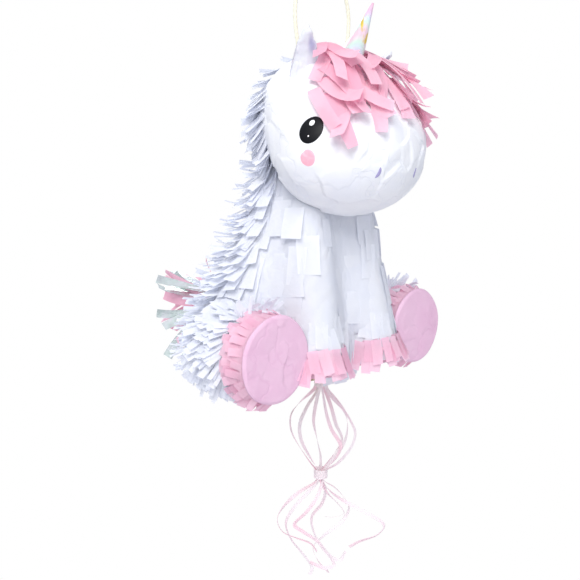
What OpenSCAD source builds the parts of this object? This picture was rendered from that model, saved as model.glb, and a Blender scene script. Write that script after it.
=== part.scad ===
// Sitting unicorn pull-string pinata: card shells, tissue fringe, a filling flap in its
// back, a trap door in its base, a hanging cord and pull ribbons.
// Millimetres, +Z up, the face looks along -Y. The origin is the point inside the top
// of the hanging cord where a hook carries it.

/* [Trunk] */
// Half width of the trunk at the hips
hip_r = 117; // [113:1:119]
// Half width of the trunk at the neck
neck_r = 61; // [58:1:62]
// Height of the neck above the base
neck_h = 202; // [198:1:206]
// Height of the rounded top of the trunk, inside the back of the head
crown_h = 80; // [74:1:84]
// Depth of the trunk as a share of its width
trunk_flat = 0.8; // [0.79:0.01:0.82]
// How far the trunk leans forward for each millimetre that it rises
trunk_lean = 0.18; // [0.17:0.01:0.19]
// Thickness of the card shells
wall = 3; // [2.5:0.5:3.5]

/* [Head] */
// Half width, half depth and half height of the cranium
cranium = [78, 75, 68];
// Half width, half depth and half height of the muzzle
muzzle = [90, 72, 68];
// Height of the muzzle's middle above the base
muzzle_h = 250; // [248:1:252]
// Length of the horn
horn_l = 64; // [56:1:68]
// Radius of the horn at its base
horn_r = 14; // [12:0.5:15]
// Length of an ear, most of which stands clear of the head
ear_l = 76; // [70:1:80]

/* [Legs] */
// Radius of the pink sole of a hind foot
sole_r = 44; // [42:0.5:44.5]
// Distance of a hind foot from the middle
hind_x = 116; // [115:0.5:118]
// Radius of a front leg at its foot
front_r = 31; // [30:0.5:32]
// Distance of a front foot from the middle
front_x = 48; // [46:0.5:49]

/* [Fringe and tail] */
// Thickness of the tissue fringe on the trunk
fringe_t = 7; // [5:0.5:8]
// Length of the tail's paper strips
tail_l = 114; // [100:1:120]

/* [Flap and trap door] */
// Width of the trap door
door_w = 82; // [76:1:84]
// Length of the trap door from its crease to its free edge
door_l = 88; // [84:1:90]
// Width of the filling flap
flap_w = 66; // [60:1:68]

/* [Cord and ribbons] */
// Diameter of the hanging cord
cord_d = 4.2; // [3.6:0.1:4.6]
// Width of a pull ribbon
ribbon_w = 5; // [4:0.1:5]

/* [Hidden] */
$fn = 64;

hang_h = 441;      // the hanging point above the base
hip_z = 20;        // the widest level of the trunk
base_t = 3;        // the base panel
trunk_y = 63;      // the trunk's axis at the base
edge_in = 12;      // how far the trunk's lower edge is drawn in
gap = 0.8;         // clearance round the flap and the door
lay = 0.2;         // between two layers of paper that meet
leg_fringe_t = 5;  // the fringe on the legs
skin_t = 1.2;      // the smooth face paper
sticker_t = 0.8;   // eyes, cheeks and nostrils

// Colours, as the object shows them.
white = [0.95, 0.96, 0.99];
pale = [0.88, 0.89, 0.95];
pink = [0.95, 0.72, 0.82];
rose = [0.87, 0.66, 0.80];
foil = [0.72, 0.75, 0.77];
kraft = [0.76, 0.66, 0.52];
cream = [0.94, 0.92, 0.80];

// All modules draw the pinata as if it sat on the plane Z = 0.
module hung() translate([0, 0, -hang_h]) children();
module both(side) mirror([side < 0 ? 1 : 0, 0, 0]) children();
module level(low, high) translate([-300, -300, low]) cube([600, 600, high - low]);

// ---- Trunk ----
// Points of the trunk's outline where one band of fringe ends and the next begins.
BASE = 0;
HEM = 3;
RUMP = 4;
WAIST = 6;
BACK = 8;
NECK = 10;
function side_r(z) = neck_r + (hip_r - neck_r)
    * pow(cos(90 * (z - hip_z) / (neck_h - hip_z)), 1.5);
side_steps = 7;
function side_h(i) = hip_z + (neck_h - hip_z) * i / side_steps;
// The trunk's outline from its lower edge up: three points of the rounded edge, the
// levels of the side, and the rounded top.
function outline(g) = concat(
    [for (a = [90, 60, 30]) [hip_r - edge_in + edge_in * cos(a) + g,
        hip_z - (hip_z - base_t) * sin(a)]],
    [for (i = [0:side_steps]) [side_r(side_h(i)) + g, side_h(i)]],
    [for (a = [18:18:72]) [(neck_r + g) * cos(a), neck_h + (crown_h + g) * sin(a)]]);
function turned(list) = [for (i = [len(list) - 1:-1:0]) list[i]];
function part_of(list, from, to) = [for (i = [from:to]) list[i]];
module trunk_place() multmatrix([[1, 0, 0, 0], [0, trunk_flat, -trunk_lean, trunk_y],
    [0, 0, 1, 0], [0, 0, 0, 1]]) children();
// The trunk as a solid, grown by g.
module trunk_form(g) trunk_place() rotate_extrude()
    polygon(concat([[0, base_t]], outline(g), [[0, neck_h + crown_h + g]]));
// The card of the trunk, closed at the top and open at the base.
module trunk_card() trunk_place() rotate_extrude()
    polygon(concat(outline(0), [[0, neck_h + crown_h], [0, neck_h + crown_h - wall]],
        turned(outline(-wall))));
// A layer of thickness t on the trunk, between two points of its outline.
module trunk_layer(from, to, t) trunk_place() rotate_extrude()
    polygon(concat(part_of(outline(t), from, to), turned(part_of(outline(0), from, to))));

// ---- Head ----
cranium_at = [0, -12, 285];
muzzle_at = [0, -40, muzzle_h];
module ball(at, size, g) translate(at) scale(size + [g, g, g]) sphere(r = 1);
module head_form(g) {
    ball(cranium_at, cranium, g);
    ball(muzzle_at, muzzle, g);
}
module head_layer(inner, outer) difference() {
    head_form(outer);
    head_form(inner);
}
// The face paper lies in front of a leaning plane and the head fringe behind it.
face_edge = [0, 3, 240];
face_lean = -7;
module head_back() translate(face_edge) rotate([face_lean, 0, 0])
    translate([-300, 0, -300]) cube(600);

// ---- Filling flap, in the trunk's back ----
flap_low = 112;
flap_top = 168;
module back_window(side_gap, low, high)
    translate([-flap_w / 2 + side_gap, trunk_y - trunk_lean * high, low])
        cube([flap_w - 2 * side_gap, 200, high - low]);

// ---- Trap door, in the base ----
door_rear = 83;    // its crease
door_front = door_rear - door_l;
notch = [9, 12];   // the notch that the ribbons' ring passes through
toggle_r = 1.5;
toggle = [0, 0, base_t + toggle_r + 0.1];

// ---- Legs ----
foot_y = -50;      // the front of the hind soles
sole_t = 3;
hind_r = sole_r - 3;
hind_back = 15;    // where a hind leg's round end begins
hoof_l = 26;       // depth of the pink fringe behind a hind sole
module hind_axis(side) both(side)
    translate([hind_x, 0, sole_r]) rotate([-90, 0, 0]) children();
module hind_form(side, g, from) hind_axis(side) {
    translate([0, 0, from]) cylinder(r = hind_r + g, h = hind_back - from);
    translate([0, 0, hind_back]) intersection() {
        sphere(r = hind_r + g);
        cylinder(r = 2 * hind_r, h = 2 * hind_r);
    }
}
front_foot = [front_x, -36, 14];
front_top = [38, -12, 178];
front_top_r = 21;
front_dir = front_top - front_foot;
front_l = norm(front_dir);
front_hoof_l = 28;
front_sole_t = 2;
module front_axis(side) both(side) translate(front_foot)
    rotate([0, acos(front_dir.z / front_l), atan2(front_dir.y, front_dir.x)]) children();
module front_form(side, g) front_axis(side) {
    cylinder(r1 = front_r + g, r2 = front_top_r + g, h = front_l);
    translate([0, 0, front_l]) scale([1, 1, 0.6]) sphere(r = front_top_r + g);
}
module front_slice(side, g, low, high) intersection() {
    front_form(side, g);
    front_axis(side) translate([-90, -90, low]) cube([180, 180, high - low]);
}

// ---- Card shells ----
module body_shell() color(kraft) hung() difference() {
    trunk_card();
    back_window(0, flap_low, flap_top);
}
module base_panel() color(kraft) hung() difference() {
    translate([0, trunk_y, 0]) linear_extrude(base_t)
        scale([1, trunk_flat]) circle(r = hip_r - edge_in);
    translate([-door_w / 2 - gap, door_front - gap, -1])
        cube([door_w + 2 * gap, door_l + 2 * gap, base_t + 2]);
}
cord_x = 36;       // the cord's holes
cord_hole_r = cord_d / 2 + 0.5;
module cord_holes(room = 0) for (s = [-1, 1])
    translate([s * cord_x, 0, 280]) cylinder(r = cord_hole_r + room, h = 100, $fn = 32);
module head_shell() color(kraft) hung() difference() {
    head_layer(-wall, 0);
    trunk_form(0);
    cord_holes();
}
module neck_collar() color(kraft) hung() intersection() {
    trunk_layer(NECK, NECK + 1, wall);
    head_form(-wall);
}
module hind_leg(side) color(kraft) hung() difference() {
    hind_form(side, 0, foot_y + sole_t);
    hind_form(side, -wall, foot_y + sole_t - 1);
    trunk_form(0);
    front_form(side, leg_fringe_t + lay);
}
module hind_sole(side) color(rose) hung() difference() {
    hind_axis(side) translate([0, 0, foot_y]) cylinder(r = sole_r, h = sole_t);
    front_form(side, leg_fringe_t + lay);
}
module front_leg(side) color(kraft) hung() difference() {
    front_form(side, 0);
    front_slice(side, -wall, front_sole_t, front_l + 40);
    front_axis(side) translate([-60, -60, -1]) cube([120, 120, 1 + front_sole_t]);
    trunk_form(0);
    head_form(fringe_t + lay);
}
module front_sole(side) color(rose) hung() difference() {
    front_axis(side) cylinder(r = front_r - 0.5, h = front_sole_t);
    trunk_form(0);
}

// ---- Tissue fringe ----
module trunk_band(from, to) color(white) hung() difference() {
    trunk_layer(from, to, fringe_t);
    head_form(fringe_t + lay);
    for (s = [-1, 1]) {
        front_form(s, leg_fringe_t + 0.5);
        hind_form(s, leg_fringe_t + 0.5, foot_y);
    }
    back_window(-2, flap_low - 2, flap_top + 8);
    tail_hole(1);
}
module head_fringe() color(white) hung() difference() {
    intersection() {
        head_layer(0, fringe_t);
        head_back();
    }
    trunk_form(0);
    cord_holes();
}
module nape_fringe() color(white) hung() difference() {
    trunk_layer(NECK, NECK + 3, fringe_t);
    head_form(fringe_t + lay);
    for (s = [-1, 1]) front_form(s, leg_fringe_t + 0.5);
}
module hind_leg_fringe(side) color(white) hung() difference() {
    hind_form(side, leg_fringe_t, foot_y + sole_t + hoof_l);
    hind_form(side, 0, foot_y);
    trunk_form(0);
    front_form(side, leg_fringe_t + lay);
}
module hind_hoof_fringe(side) color(pink) hung() difference() {
    hind_axis(side) translate([0, 0, foot_y + sole_t]) cylinder(r = hind_r + 4, h = hoof_l);
    hind_form(side, 0, foot_y);
    front_form(side, leg_fringe_t + lay);
}
module front_leg_fringe(side) color(white) hung() difference() {
    front_slice(side, leg_fringe_t, front_hoof_l, front_l + 40);
    front_form(side, 0);
    trunk_form(0);
    head_form(fringe_t + lay);
}
module front_hoof_fringe(side) color(pink) hung() difference() {
    front_slice(side, leg_fringe_t, 0, front_hoof_l);
    front_form(side, 0);
    trunk_form(0);
}

// ---- Face and head trim ----
module face_paper() color(white) hung() difference() {
    head_layer(0, skin_t);
    head_back();
    trunk_form(0);
    cord_holes();
    horn_form(lay);
    for (s = [-1, 1]) ear_form(s, 2 * lay);
}
horn_at = [0, -38, 341];
horn_lean = 29;
module horn_axis() translate(horn_at) rotate([horn_lean, 0, 0]) children();
module horn_form(g) horn_axis() cylinder(r1 = horn_r + g, r2 = 1.2 + g, h = horn_l);
module horn() color([0.90, 0.86, 0.93]) hung() difference() {
    horn_form(0);
    horn_axis() translate([0, 0, -1]) cylinder(r1 = horn_r - 0.8, r2 = 0.2, h = horn_l - 4);
    head_form(skin_t);
}
ear_at = [52, -28, 336];
ear_turn = [24, 3, 35];
ear_size = [17, 10, ear_l / 2];
ear_fold = [0, -6, 3];     // the hollow of the ear, forward of it
module ear_axis(side) both(side) translate(ear_at) rotate(ear_turn) children();
module ear_form(side, g) ear_axis(side) ball([0, 0, 0], ear_size, g);
module ear_hollow(side, g) ear_axis(side) ball(ear_fold, ear_size - [4, 2, 8], g);
module ear(side) color(white) hung() difference() {
    ear_form(side, 0);
    ear_hollow(side, 0);
    head_form(skin_t);
}
module ear_lining(side) color(pale) hung() difference() {
    intersection() {
        ear_hollow(side, 0);
        ear_form(side, 0);
    }
    ear_hollow(side, -1.2);
    head_form(skin_t);
}
// A printed sticker on the curve of the head.
module sticker(at, turn, w, h, tilt) difference() {
    intersection() {
        head_form(skin_t + sticker_t);
        translate(at) rotate(turn) rotate([0, 90, 0]) rotate([0, 0, tilt])
            translate([0, 0, -10]) linear_extrude(30) scale([h / 2, w / 2]) circle(r = 1);
    }
    head_form(skin_t);
}
module eye(side) color([0.02, 0.02, 0.02]) hung() both(side)
    sticker([84, -62, 268], [0, -18, -24], 25, 29, 14);
module cheek_stickers() color(pink) hung() for (s = [-1, 1]) both(s)
    sticker([85, -60, 240], [0, 4, -30], 14, 16, 0);
module nostril_marks() color([0.62, 0.58, 0.78]) hung() for (s = [-1, 1]) both(s)
    sticker([29, -100, 226], [0, 10, -68], 4, 10, 20);
forelock_w = 120;
module forelock() color(pink) hung() difference() {
    intersection() {
        head_layer(skin_t, 13);
        translate([-forelock_w / 2 + 4, -130, 296]) cube([forelock_w, 160, 90]);
    }
    head_back();
    cord_holes(4);    // the cord spreads outward here
    horn_form(2 * lay);
    for (s = [-1, 1]) ear_form(s, 2 * lay);
}

// ---- Tail ----
tail_at = [0, 146, 66];
stem_r = 8;
stem_l = 24;
module tail_axis() translate(tail_at) rotate([-90, 0, 0]) children();
module tail_hole(g) tail_axis() translate([0, 0, -30]) cylinder(r = stem_r + g, h = 60);
module tail_stem() color(kraft) hung() difference() {
    tail_axis() translate([0, 0, -14]) cylinder(r = stem_r, h = stem_l);
    trunk_form(0);
}
strip_t = 0.7;
tail_droop = 12;   // how far the whole fan hangs, in degrees
// Strips radiate from the stem: each is [up, aside] in degrees, and its length.
module tail_strip(turn, length, width) rotate([turn.x, 0, turn.y])
    translate([-width / 2, -2, -strip_t / 2]) cube([width, length + 2, strip_t]);
pink_strips = [[38, -26, 0.92], [40, 8, 0.96], [33, 34, 0.9], [24, -44, 0.94],
    [22, -12, 1], [20, 22, 1], [10, -30, 0.98], [8, 42, 0.94], [6, 4, 1],
    [-6, -46, 0.9], [-8, -18, 1], [-10, 26, 0.97], [-22, -34, 0.96], [-24, 0, 1],
    [-26, 36, 0.92], [-38, -16, 0.93], [-40, 16, 0.95]];
foil_strips = [[30, -8, 0.9], [29, 20, 0.88], [15, -38, 0.9], [14, 10, 0.92],
    [0, -12, 0.95], [-2, 32, 0.9], [-15, -28, 0.92], [-17, 12, 0.94], [-31, -26, 0.9],
    [-33, 4, 0.92], [-32, 28, 0.88]];
module tail_hub(from, r, h) translate(tail_at + [0, from, 0]) rotate([-90, 0, 0])
    cylinder(r = r, h = h);
module tail_pink_strips() color(pink) hung() {
    tail_hub(10, stem_r, 8);
    for (p = pink_strips) translate(tail_at + [0, 16, 0])
        tail_strip([p.x - tail_droop, p.y], tail_l * p.z, 12);
}
module tail_foil_strips() color(foil) hung() {
    tail_hub(18, stem_r, 3);
    for (p = foil_strips) translate(tail_at + [0, 20, 0])
        tail_strip([p.x - tail_droop, p.y], (tail_l - 8) * p.z, 9);
}

// ---- Hanger ----
plate_z = 330;
plate_t = 2.5;
module hanger_plate() color(kraft) hung() difference() {
    intersection() {
        ball(cranium_at, cranium, -wall);
        level(plate_z, plate_z + plate_t);
    }
    cord_holes();
}
module cord_knots() color(cream) hung() for (s = [-1, 1])
    translate([s * cord_x, 0, plate_z - 5]) difference() {
        sphere(r = 5, $fn = 32);
        cylinder(r = cord_d / 2 + 0.1, h = 12, center = true, $fn = 32);
    }
// One side of the hanging cord, from the knot under the plate to the top of the loop.
cord_side = [[36, 320], [36, 332], [36, 344], [37, 355], [40, 367], [42, 380], [42.5, 393],
    [41, 406], [37, 418], [30, 429], [20, 437.5], [9, 442]];
cord_top = hang_h + cord_d / 2;
cord_route = concat([for (p = cord_side) [-p.x, 0, p.y]], [[0, 0, cord_top]],
    [for (i = [len(cord_side) - 1:-1:0]) [cord_side[i].x, 0, cord_side[i].y]]);
module hanging_cord() color(cream) hung() sweep(cord_route, [0, 1, 0], cord_d, cord_d, 8);

// A tube of sides faces along a route. Its width lies along across, its thickness square
// to it.
function unit(v) = v / norm(v);
function heading(route, i) = unit(route[min(i + 1, len(route) - 1)] - route[max(i - 1, 0)]);
function ring(route, i, across, w, t, sides) = let (
    d = heading(route, i), a = unit(across - (across * d) * d), b = cross(d, a))
    [for (k = [0:sides - 1]) let (q = 360 * k / sides)
        route[i] + a * w / 2 * cos(q) + b * t / 2 * sin(q)];
module sweep(route, across, w, t, sides) {
    n = len(route);
    points = [for (i = [0:n - 1]) each ring(route, i, across, w, t, sides)];
    walls = [for (i = [0:n - 2], k = [0:sides - 1]) let (m = (k + 1) % sides)
        [i * sides + k, i * sides + m, (i + 1) * sides + m, (i + 1) * sides + k]];
    polyhedron(points, concat([[for (k = [sides - 1:-1:0]) k]], walls,
        [[for (k = [0:sides - 1]) (n - 1) * sides + k]]), convexity = 10);
}

// ---- Filling flap and trap door ----
module fill_flap() color(kraft) hung() intersection() {
    trunk_card();
    back_window(gap, flap_low + gap, flap_top - gap);
}
module fill_flap_fringe() color(white) hung() intersection() {
    trunk_layer(WAIST, NECK, fringe_t - 1);
    back_window(gap, flap_low + gap, flap_top - 10);
}
module trap_door() color(kraft) hung() difference() {
    translate([-door_w / 2, door_front, 0]) cube([door_w, door_l, base_t]);
    translate([-notch.x / 2, door_front - 1, -1]) cube([notch.x, notch.y + 1, base_t + 2]);
}
module toggle_bar() color([0.85, 0.74, 0.55]) hung() translate(toggle - [14, 0, 0])
    rotate([0, 90, 0]) cylinder(r = toggle_r, h = 28, $fn = 24);

// ---- Pull ribbons ----
ribbon_t = 0.8;
stave_r = 6;       // the ribbons stand round a circle where a band holds them
band_r = 6.5;
module band(z, h) translate([0, 0, z]) difference() {
    cylinder(r = band_r + 1.4, h = h);
    translate([0, 0, -1]) cylinder(r = band_r, h = h + 2);
}
module ribbon_collar() color(pink) hung() {
    translate(toggle) rotate([0, 90, 0]) rotate_extrude($fn = 48)
        translate([4, 0]) circle(r = 0.9, $fn = 16);
    translate([0, 0, -7]) cylinder(r = 2, h = toggle.z + 3, $fn = 32);
    translate([0, 0, -8]) cylinder(r = band_r + 1.4, h = 2);
    band(-15, 8);
}
gather_z = -119;
module gather_band() color(pink) hung() band(gather_z - 5, 10);
ribbon_turn = -46; // the first ribbon's plane
// Each route is [out, aside, up]: out from the middle in the ribbon's own plane.
held = [[stave_r, 0, -8.5], [stave_r, 0, -15]];
held_again = [[stave_r, 0, -110], [stave_r, 0, -119], [stave_r, 0, -128]];
ribbon_routes = [
    [each held, [11, 0, -24], [20, 0, -34], [29, 1, -45], [34, 1, -58], [34, 1, -71],
        [29, 0, -84], [20, 0, -95], [11, 0, -102], each held_again, [11, 0, -138],
        [21, 1, -147], [33, 3, -155], [45, 5, -164], [54, 6, -175], [55, 4, -188],
        [46, 2, -198], [34, 1, -204], [21, 0, -208]],
    [each held, [11, 0, -24], [18, 2, -35], [23, 3, -48], [24, 2, -62], [22, 0, -76],
        [17, 0, -89], [10, 0, -100], each held_again, [9, 0, -140], [15, 0, -152],
        [23, 2, -163], [29, 5, -175], [28, 7, -188], [20, 8, -198], [10, 8, -207],
        [2, 7, -217], [-4, 5, -229], [-6, 2, -242]],
    [each held, [13, 0, -23], [24, -2, -32], [33, -4, -44], [37, -4, -58], [35, -3, -72],
        [28, -1, -85], [18, 0, -95], [10, 0, -102], each held_again, [12, 0, -138],
        [22, 0, -147], [31, 0, -158], [35, 0, -171], [33, 1, -185], [26, 3, -197],
        [17, 5, -207], [6, 6, -214]],
    [each held, [13, 0, -23], [25, 1, -31], [37, 2, -41], [45, 3, -54], [46, 3, -68],
        [40, 2, -81], [29, 1, -92], [16, 0, -101], each held_again, [13, 0, -137],
        [24, -1, -145], [37, -2, -151], [50, -3, -159], [58, -4, -171], [59, -4, -185],
        [52, -3, -197], [41, -2, -205]],
    [each held, [12, 0, -24], [22, -1, -34], [31, -1, -46], [34, 0, -60], [30, 0, -74],
        [21, 0, -86], [12, 0, -97], each held_again, [12, 1, -138], [22, 2, -147],
        [31, 2, -158], [38, 1, -171], [40, 0, -185], [36, 0, -199], [28, 0, -211],
        [18, 0, -221], [12, 1, -233], [11, 2, -246]],
    [each held, [10, 0, -25], [16, 1, -37], [19, 2, -50], [18, 2, -64], [14, 1, -78],
        [10, 0, -92], each held_again, [9, 0, -141], [13, 0, -154], [20, -1, -166],
        [29, -2, -177], [37, -3, -188], [38, -3, -201], [30, -3, -211], [18, -2, -215]],
    [each held, [12, 0, -24], [20, -1, -35], [25, -1, -48], [26, 0, -62], [24, 0, -76],
        [18, 0, -89], [11, 0, -100], each held_again, [11, 0, -139], [19, 0, -149],
        [28, 1, -160], [33, 3, -173], [31, 5, -186], [23, 6, -197], [13, 7, -206],
        [5, 8, -217], [2, 8, -230]]];
module ribbon(i) color([0.97, 0.86, 0.90]) hung() rotate([0, 0, ribbon_turn + i * 360 / 7])
    sweep(ribbon_routes[i], [0, 1, 0], ribbon_w, ribbon_t, 8);

body_shell();
base_panel();
head_shell();
neck_collar();
face_paper();
head_fringe();
trunk_band(BASE, HEM);  // hem_fringe
trunk_band(HEM, RUMP);  // rump_fringe
trunk_band(RUMP, WAIST);  // hip_fringe
trunk_band(WAIST, BACK);  // waist_fringe
trunk_band(BACK, NECK);  // shoulder_fringe
nape_fringe();
forelock();
horn();
ear(-1);  // ear_right
ear(1);  // ear_left
ear_lining(-1);  // ear_lining_right
ear_lining(1);  // ear_lining_left
eye(-1);  // eye_right
eye(1);  // eye_left
cheek_stickers();
nostril_marks();
hind_leg(-1);  // hind_leg_right
hind_leg(1);  // hind_leg_left
hind_sole(-1);  // hind_sole_right
hind_sole(1);  // hind_sole_left
hind_hoof_fringe(-1);  // hind_hoof_fringe_right
hind_hoof_fringe(1);  // hind_hoof_fringe_left
hind_leg_fringe(-1);  // hind_leg_fringe_right
hind_leg_fringe(1);  // hind_leg_fringe_left
front_leg(-1);  // front_leg_right
front_leg(1);  // front_leg_left
front_sole(-1);  // front_sole_right
front_sole(1);  // front_sole_left
front_hoof_fringe(-1);  // front_hoof_fringe_right
front_hoof_fringe(1);  // front_hoof_fringe_left
front_leg_fringe(-1);  // front_leg_fringe_right
front_leg_fringe(1);  // front_leg_fringe_left
tail_stem();
tail_pink_strips();
tail_foil_strips();
hanger_plate();
hanging_cord();
cord_knots();
fill_flap();
fill_flap_fringe();
trap_door();
toggle_bar();
ribbon_collar();
gather_band();
ribbon(0);  // ribbon_1
ribbon(1);  // ribbon_2
ribbon(2);  // ribbon_3
ribbon(3);  // ribbon_4
ribbon(4);  // ribbon_5
ribbon(5);  // ribbon_6
ribbon(6);  // ribbon_7
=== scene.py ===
import bpy
import bmesh
import math
import numpy as np
from mathutils import Matrix, Vector, noise


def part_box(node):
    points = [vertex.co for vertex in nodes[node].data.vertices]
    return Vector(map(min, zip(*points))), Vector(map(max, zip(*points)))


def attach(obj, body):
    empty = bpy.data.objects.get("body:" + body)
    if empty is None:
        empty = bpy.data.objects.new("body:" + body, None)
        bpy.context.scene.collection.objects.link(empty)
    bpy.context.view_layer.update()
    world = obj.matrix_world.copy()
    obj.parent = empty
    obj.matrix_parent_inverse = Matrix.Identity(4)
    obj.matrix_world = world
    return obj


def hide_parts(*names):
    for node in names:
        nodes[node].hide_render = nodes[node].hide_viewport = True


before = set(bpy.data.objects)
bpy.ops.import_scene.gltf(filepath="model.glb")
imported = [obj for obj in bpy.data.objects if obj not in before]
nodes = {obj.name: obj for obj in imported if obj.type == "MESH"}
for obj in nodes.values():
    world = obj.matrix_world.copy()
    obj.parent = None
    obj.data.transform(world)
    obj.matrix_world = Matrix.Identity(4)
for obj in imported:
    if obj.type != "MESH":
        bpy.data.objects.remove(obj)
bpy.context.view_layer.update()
print("loaded", len(nodes), "nodes")

# Working units are millimetres above the base. The row frame's origin is up at the hook.
hookHeight = 441.0


def toFrame(points):
    return (np.asarray(points, float) - np.array([0, 0, hookHeight])) * 0.001


def fromFrame(points):
    return np.asarray(points, float) * 1000 + np.array([0, 0, hookHeight])


def unit(v):
    return v / np.maximum(np.linalg.norm(v, axis=-1, keepdims=True), 1e-9)


camera = {"place": (-0.6072, -0.5600, -0.2128), "turn": -44.86, "pitch": 6.5, "lens": 46.1, "shift": -0.06}


def makeCamera():
    data = bpy.data.cameras.new("camera")
    data.lens = camera["lens"]
    data.sensor_width = 36
    data.shift_y = camera["shift"]
    data.clip_start, data.clip_end = 0.01, 50
    o = bpy.data.objects.new("camera", data)
    bpy.context.scene.collection.objects.link(o)
    a, e = math.radians(camera["turn"]), math.radians(camera["pitch"])
    ahead = Vector((-math.sin(a) * math.cos(e), math.cos(a) * math.cos(e), -math.sin(e)))
    o.location = camera["place"]
    o.rotation_euler = ahead.to_track_quat("-Z", "Y").to_euler()
    bpy.context.scene.camera = o


makeCamera()


# A material under construction: nodes are added and linked by name.
class Shader:
    def __init__(self, name):
        self.material = bpy.data.materials.new(name)
        self.material.use_nodes = True
        self.tree = self.material.node_tree
        self.body = self.tree.nodes["Principled BSDF"]

    def add(self, kind, **settings):
        node = self.tree.nodes.new(kind)
        for k, v in settings.items():
            if k in node.inputs:
                node.inputs[k].default_value = v
            else:
                setattr(node, k, v)
        return node

    def link(self, a, b):
        self.tree.links.new(a, b)

    def set(self, **values):
        for k, v in values.items():
            self.body.inputs[k.replace("_", " ")].default_value = v

    def coords(self, scale=(1, 1, 1)):
        mapping = self.add("ShaderNodeMapping")
        mapping.inputs["Scale"].default_value = scale
        self.link(self.add("ShaderNodeTexCoord").outputs["Object"], mapping.inputs["Vector"])
        return mapping.outputs["Vector"]

    def noise(self, scale, detail=4.0, rough=0.55, stretch=(1, 1, 1)):
        n = self.add("ShaderNodeTexNoise")
        n.inputs["Scale"].default_value = scale
        n.inputs["Detail"].default_value = detail
        n.inputs["Roughness"].default_value = rough
        self.link(self.coords(stretch), n.inputs["Vector"])
        return n.outputs["Fac"]

    def ramp(self, value, stops):
        r = self.add("ShaderNodeValToRGB")
        while len(r.color_ramp.elements) < len(stops):
            r.color_ramp.elements.new(0.5)
        for e, (p, c) in zip(r.color_ramp.elements, stops):
            e.position, e.color = p, (*c, 1)
        self.link(value, r.inputs["Fac"])
        return r.outputs["Color"]

    def mix(self, value, a, b, blend="MIX"):
        m = self.add("ShaderNodeMix", data_type="RGBA", blend_type=blend)
        for socket, x in ((m.inputs[0], value), (m.inputs[6], a), (m.inputs[7], b)):
            if hasattr(x, "links"):
                self.link(x, socket)
            elif isinstance(x, tuple):
                socket.default_value = (*x, 1)
            else:
                socket.default_value = x
        return m.outputs[2]

    def attribute(self, name):
        return self.add("ShaderNodeAttribute", attribute_name=name).outputs["Fac"]

    def bump(self, value, strength, distance):
        b = self.add("ShaderNodeBump")
        b.inputs["Strength"].default_value = strength
        b.inputs["Distance"].default_value = distance
        last = self.body.inputs["Normal"]
        if last.links:
            self.link(last.links[0].from_socket, b.inputs["Normal"])
        self.link(value, b.inputs["Height"])
        self.link(b.outputs["Normal"], last)

    # Lets part of the light through, as paper does.
    def thin(self, share, colour):
        glow = self.add("ShaderNodeBsdfTranslucent")
        glow.inputs["Color"].default_value = (*colour, 1)
        both = self.add("ShaderNodeMixShader")
        both.inputs["Fac"].default_value = share
        out = self.tree.nodes["Material Output"]
        self.link(self.body.outputs["BSDF"], both.inputs[1])
        self.link(glow.outputs["BSDF"], both.inputs[2])
        self.link(both.outputs["Shader"], out.inputs["Surface"])


# Each paper look: "light" is the paper's colour where the lamps fall on it, "shade" is a darker, bluer colour
# that paints the shade on it, and "through" is the colour that shines through it.
paperLook = {
    # The ears are white paper like the head; this greyer, bluer pair paints the shade on them.
    "ear": {"light": (0.80, 0.82, 0.86), "shade": (0.66, 0.69, 0.78), "through": (0.8, 0.82, 0.9)},
    "white": {"light": (0.93, 0.94, 0.965), "shade": (0.82, 0.85, 0.94), "through": (0.9, 0.92, 1.0)},
    "pink": {"light": (0.95, 0.64, 0.745), "shade": (0.86, 0.45, 0.58), "through": (1.0, 0.60, 0.72)},
    "palePink": {"light": (0.92, 0.68, 0.79), "shade": (0.86, 0.50, 0.65), "through": (1.0, 0.70, 0.80)},
    "rose": {"light": (0.86, 0.58, 0.74), "shade": (0.78, 0.46, 0.65), "through": (0.9, 0.6, 0.75)},
}


def tissue(name, look, wrinkle=0.35, share=0.36):
    s = Shader(name)
    s.set(Roughness=0.78)
    s.body.inputs["Specular IOR Level"].default_value = 0.25
    patch = s.noise(55, 3)
    fine = s.noise(900, 5, 0.65)
    # The attribute read here sets how far each strip's colour goes from the lit colour towards the painted
    # shade colour; noise patches push it further into the painted shade at random.
    toneAndShade = s.attribute("toneAndShade")
    base = s.mix(toneAndShade, look["light"], look["shade"])
    base = s.mix(s.ramp(patch, [(0.42, (0, 0, 0)), (0.72, (0.35, 0.35, 0.35))]), base, look["shade"])
    s.link(base, s.body.inputs["Base Color"])
    s.bump(fine, wrinkle, 0.0004)
    s.bump(s.noise(240, 3, 0.5), 0.5, 0.0009)
    s.thin(share, look["through"])
    return s.material


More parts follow.
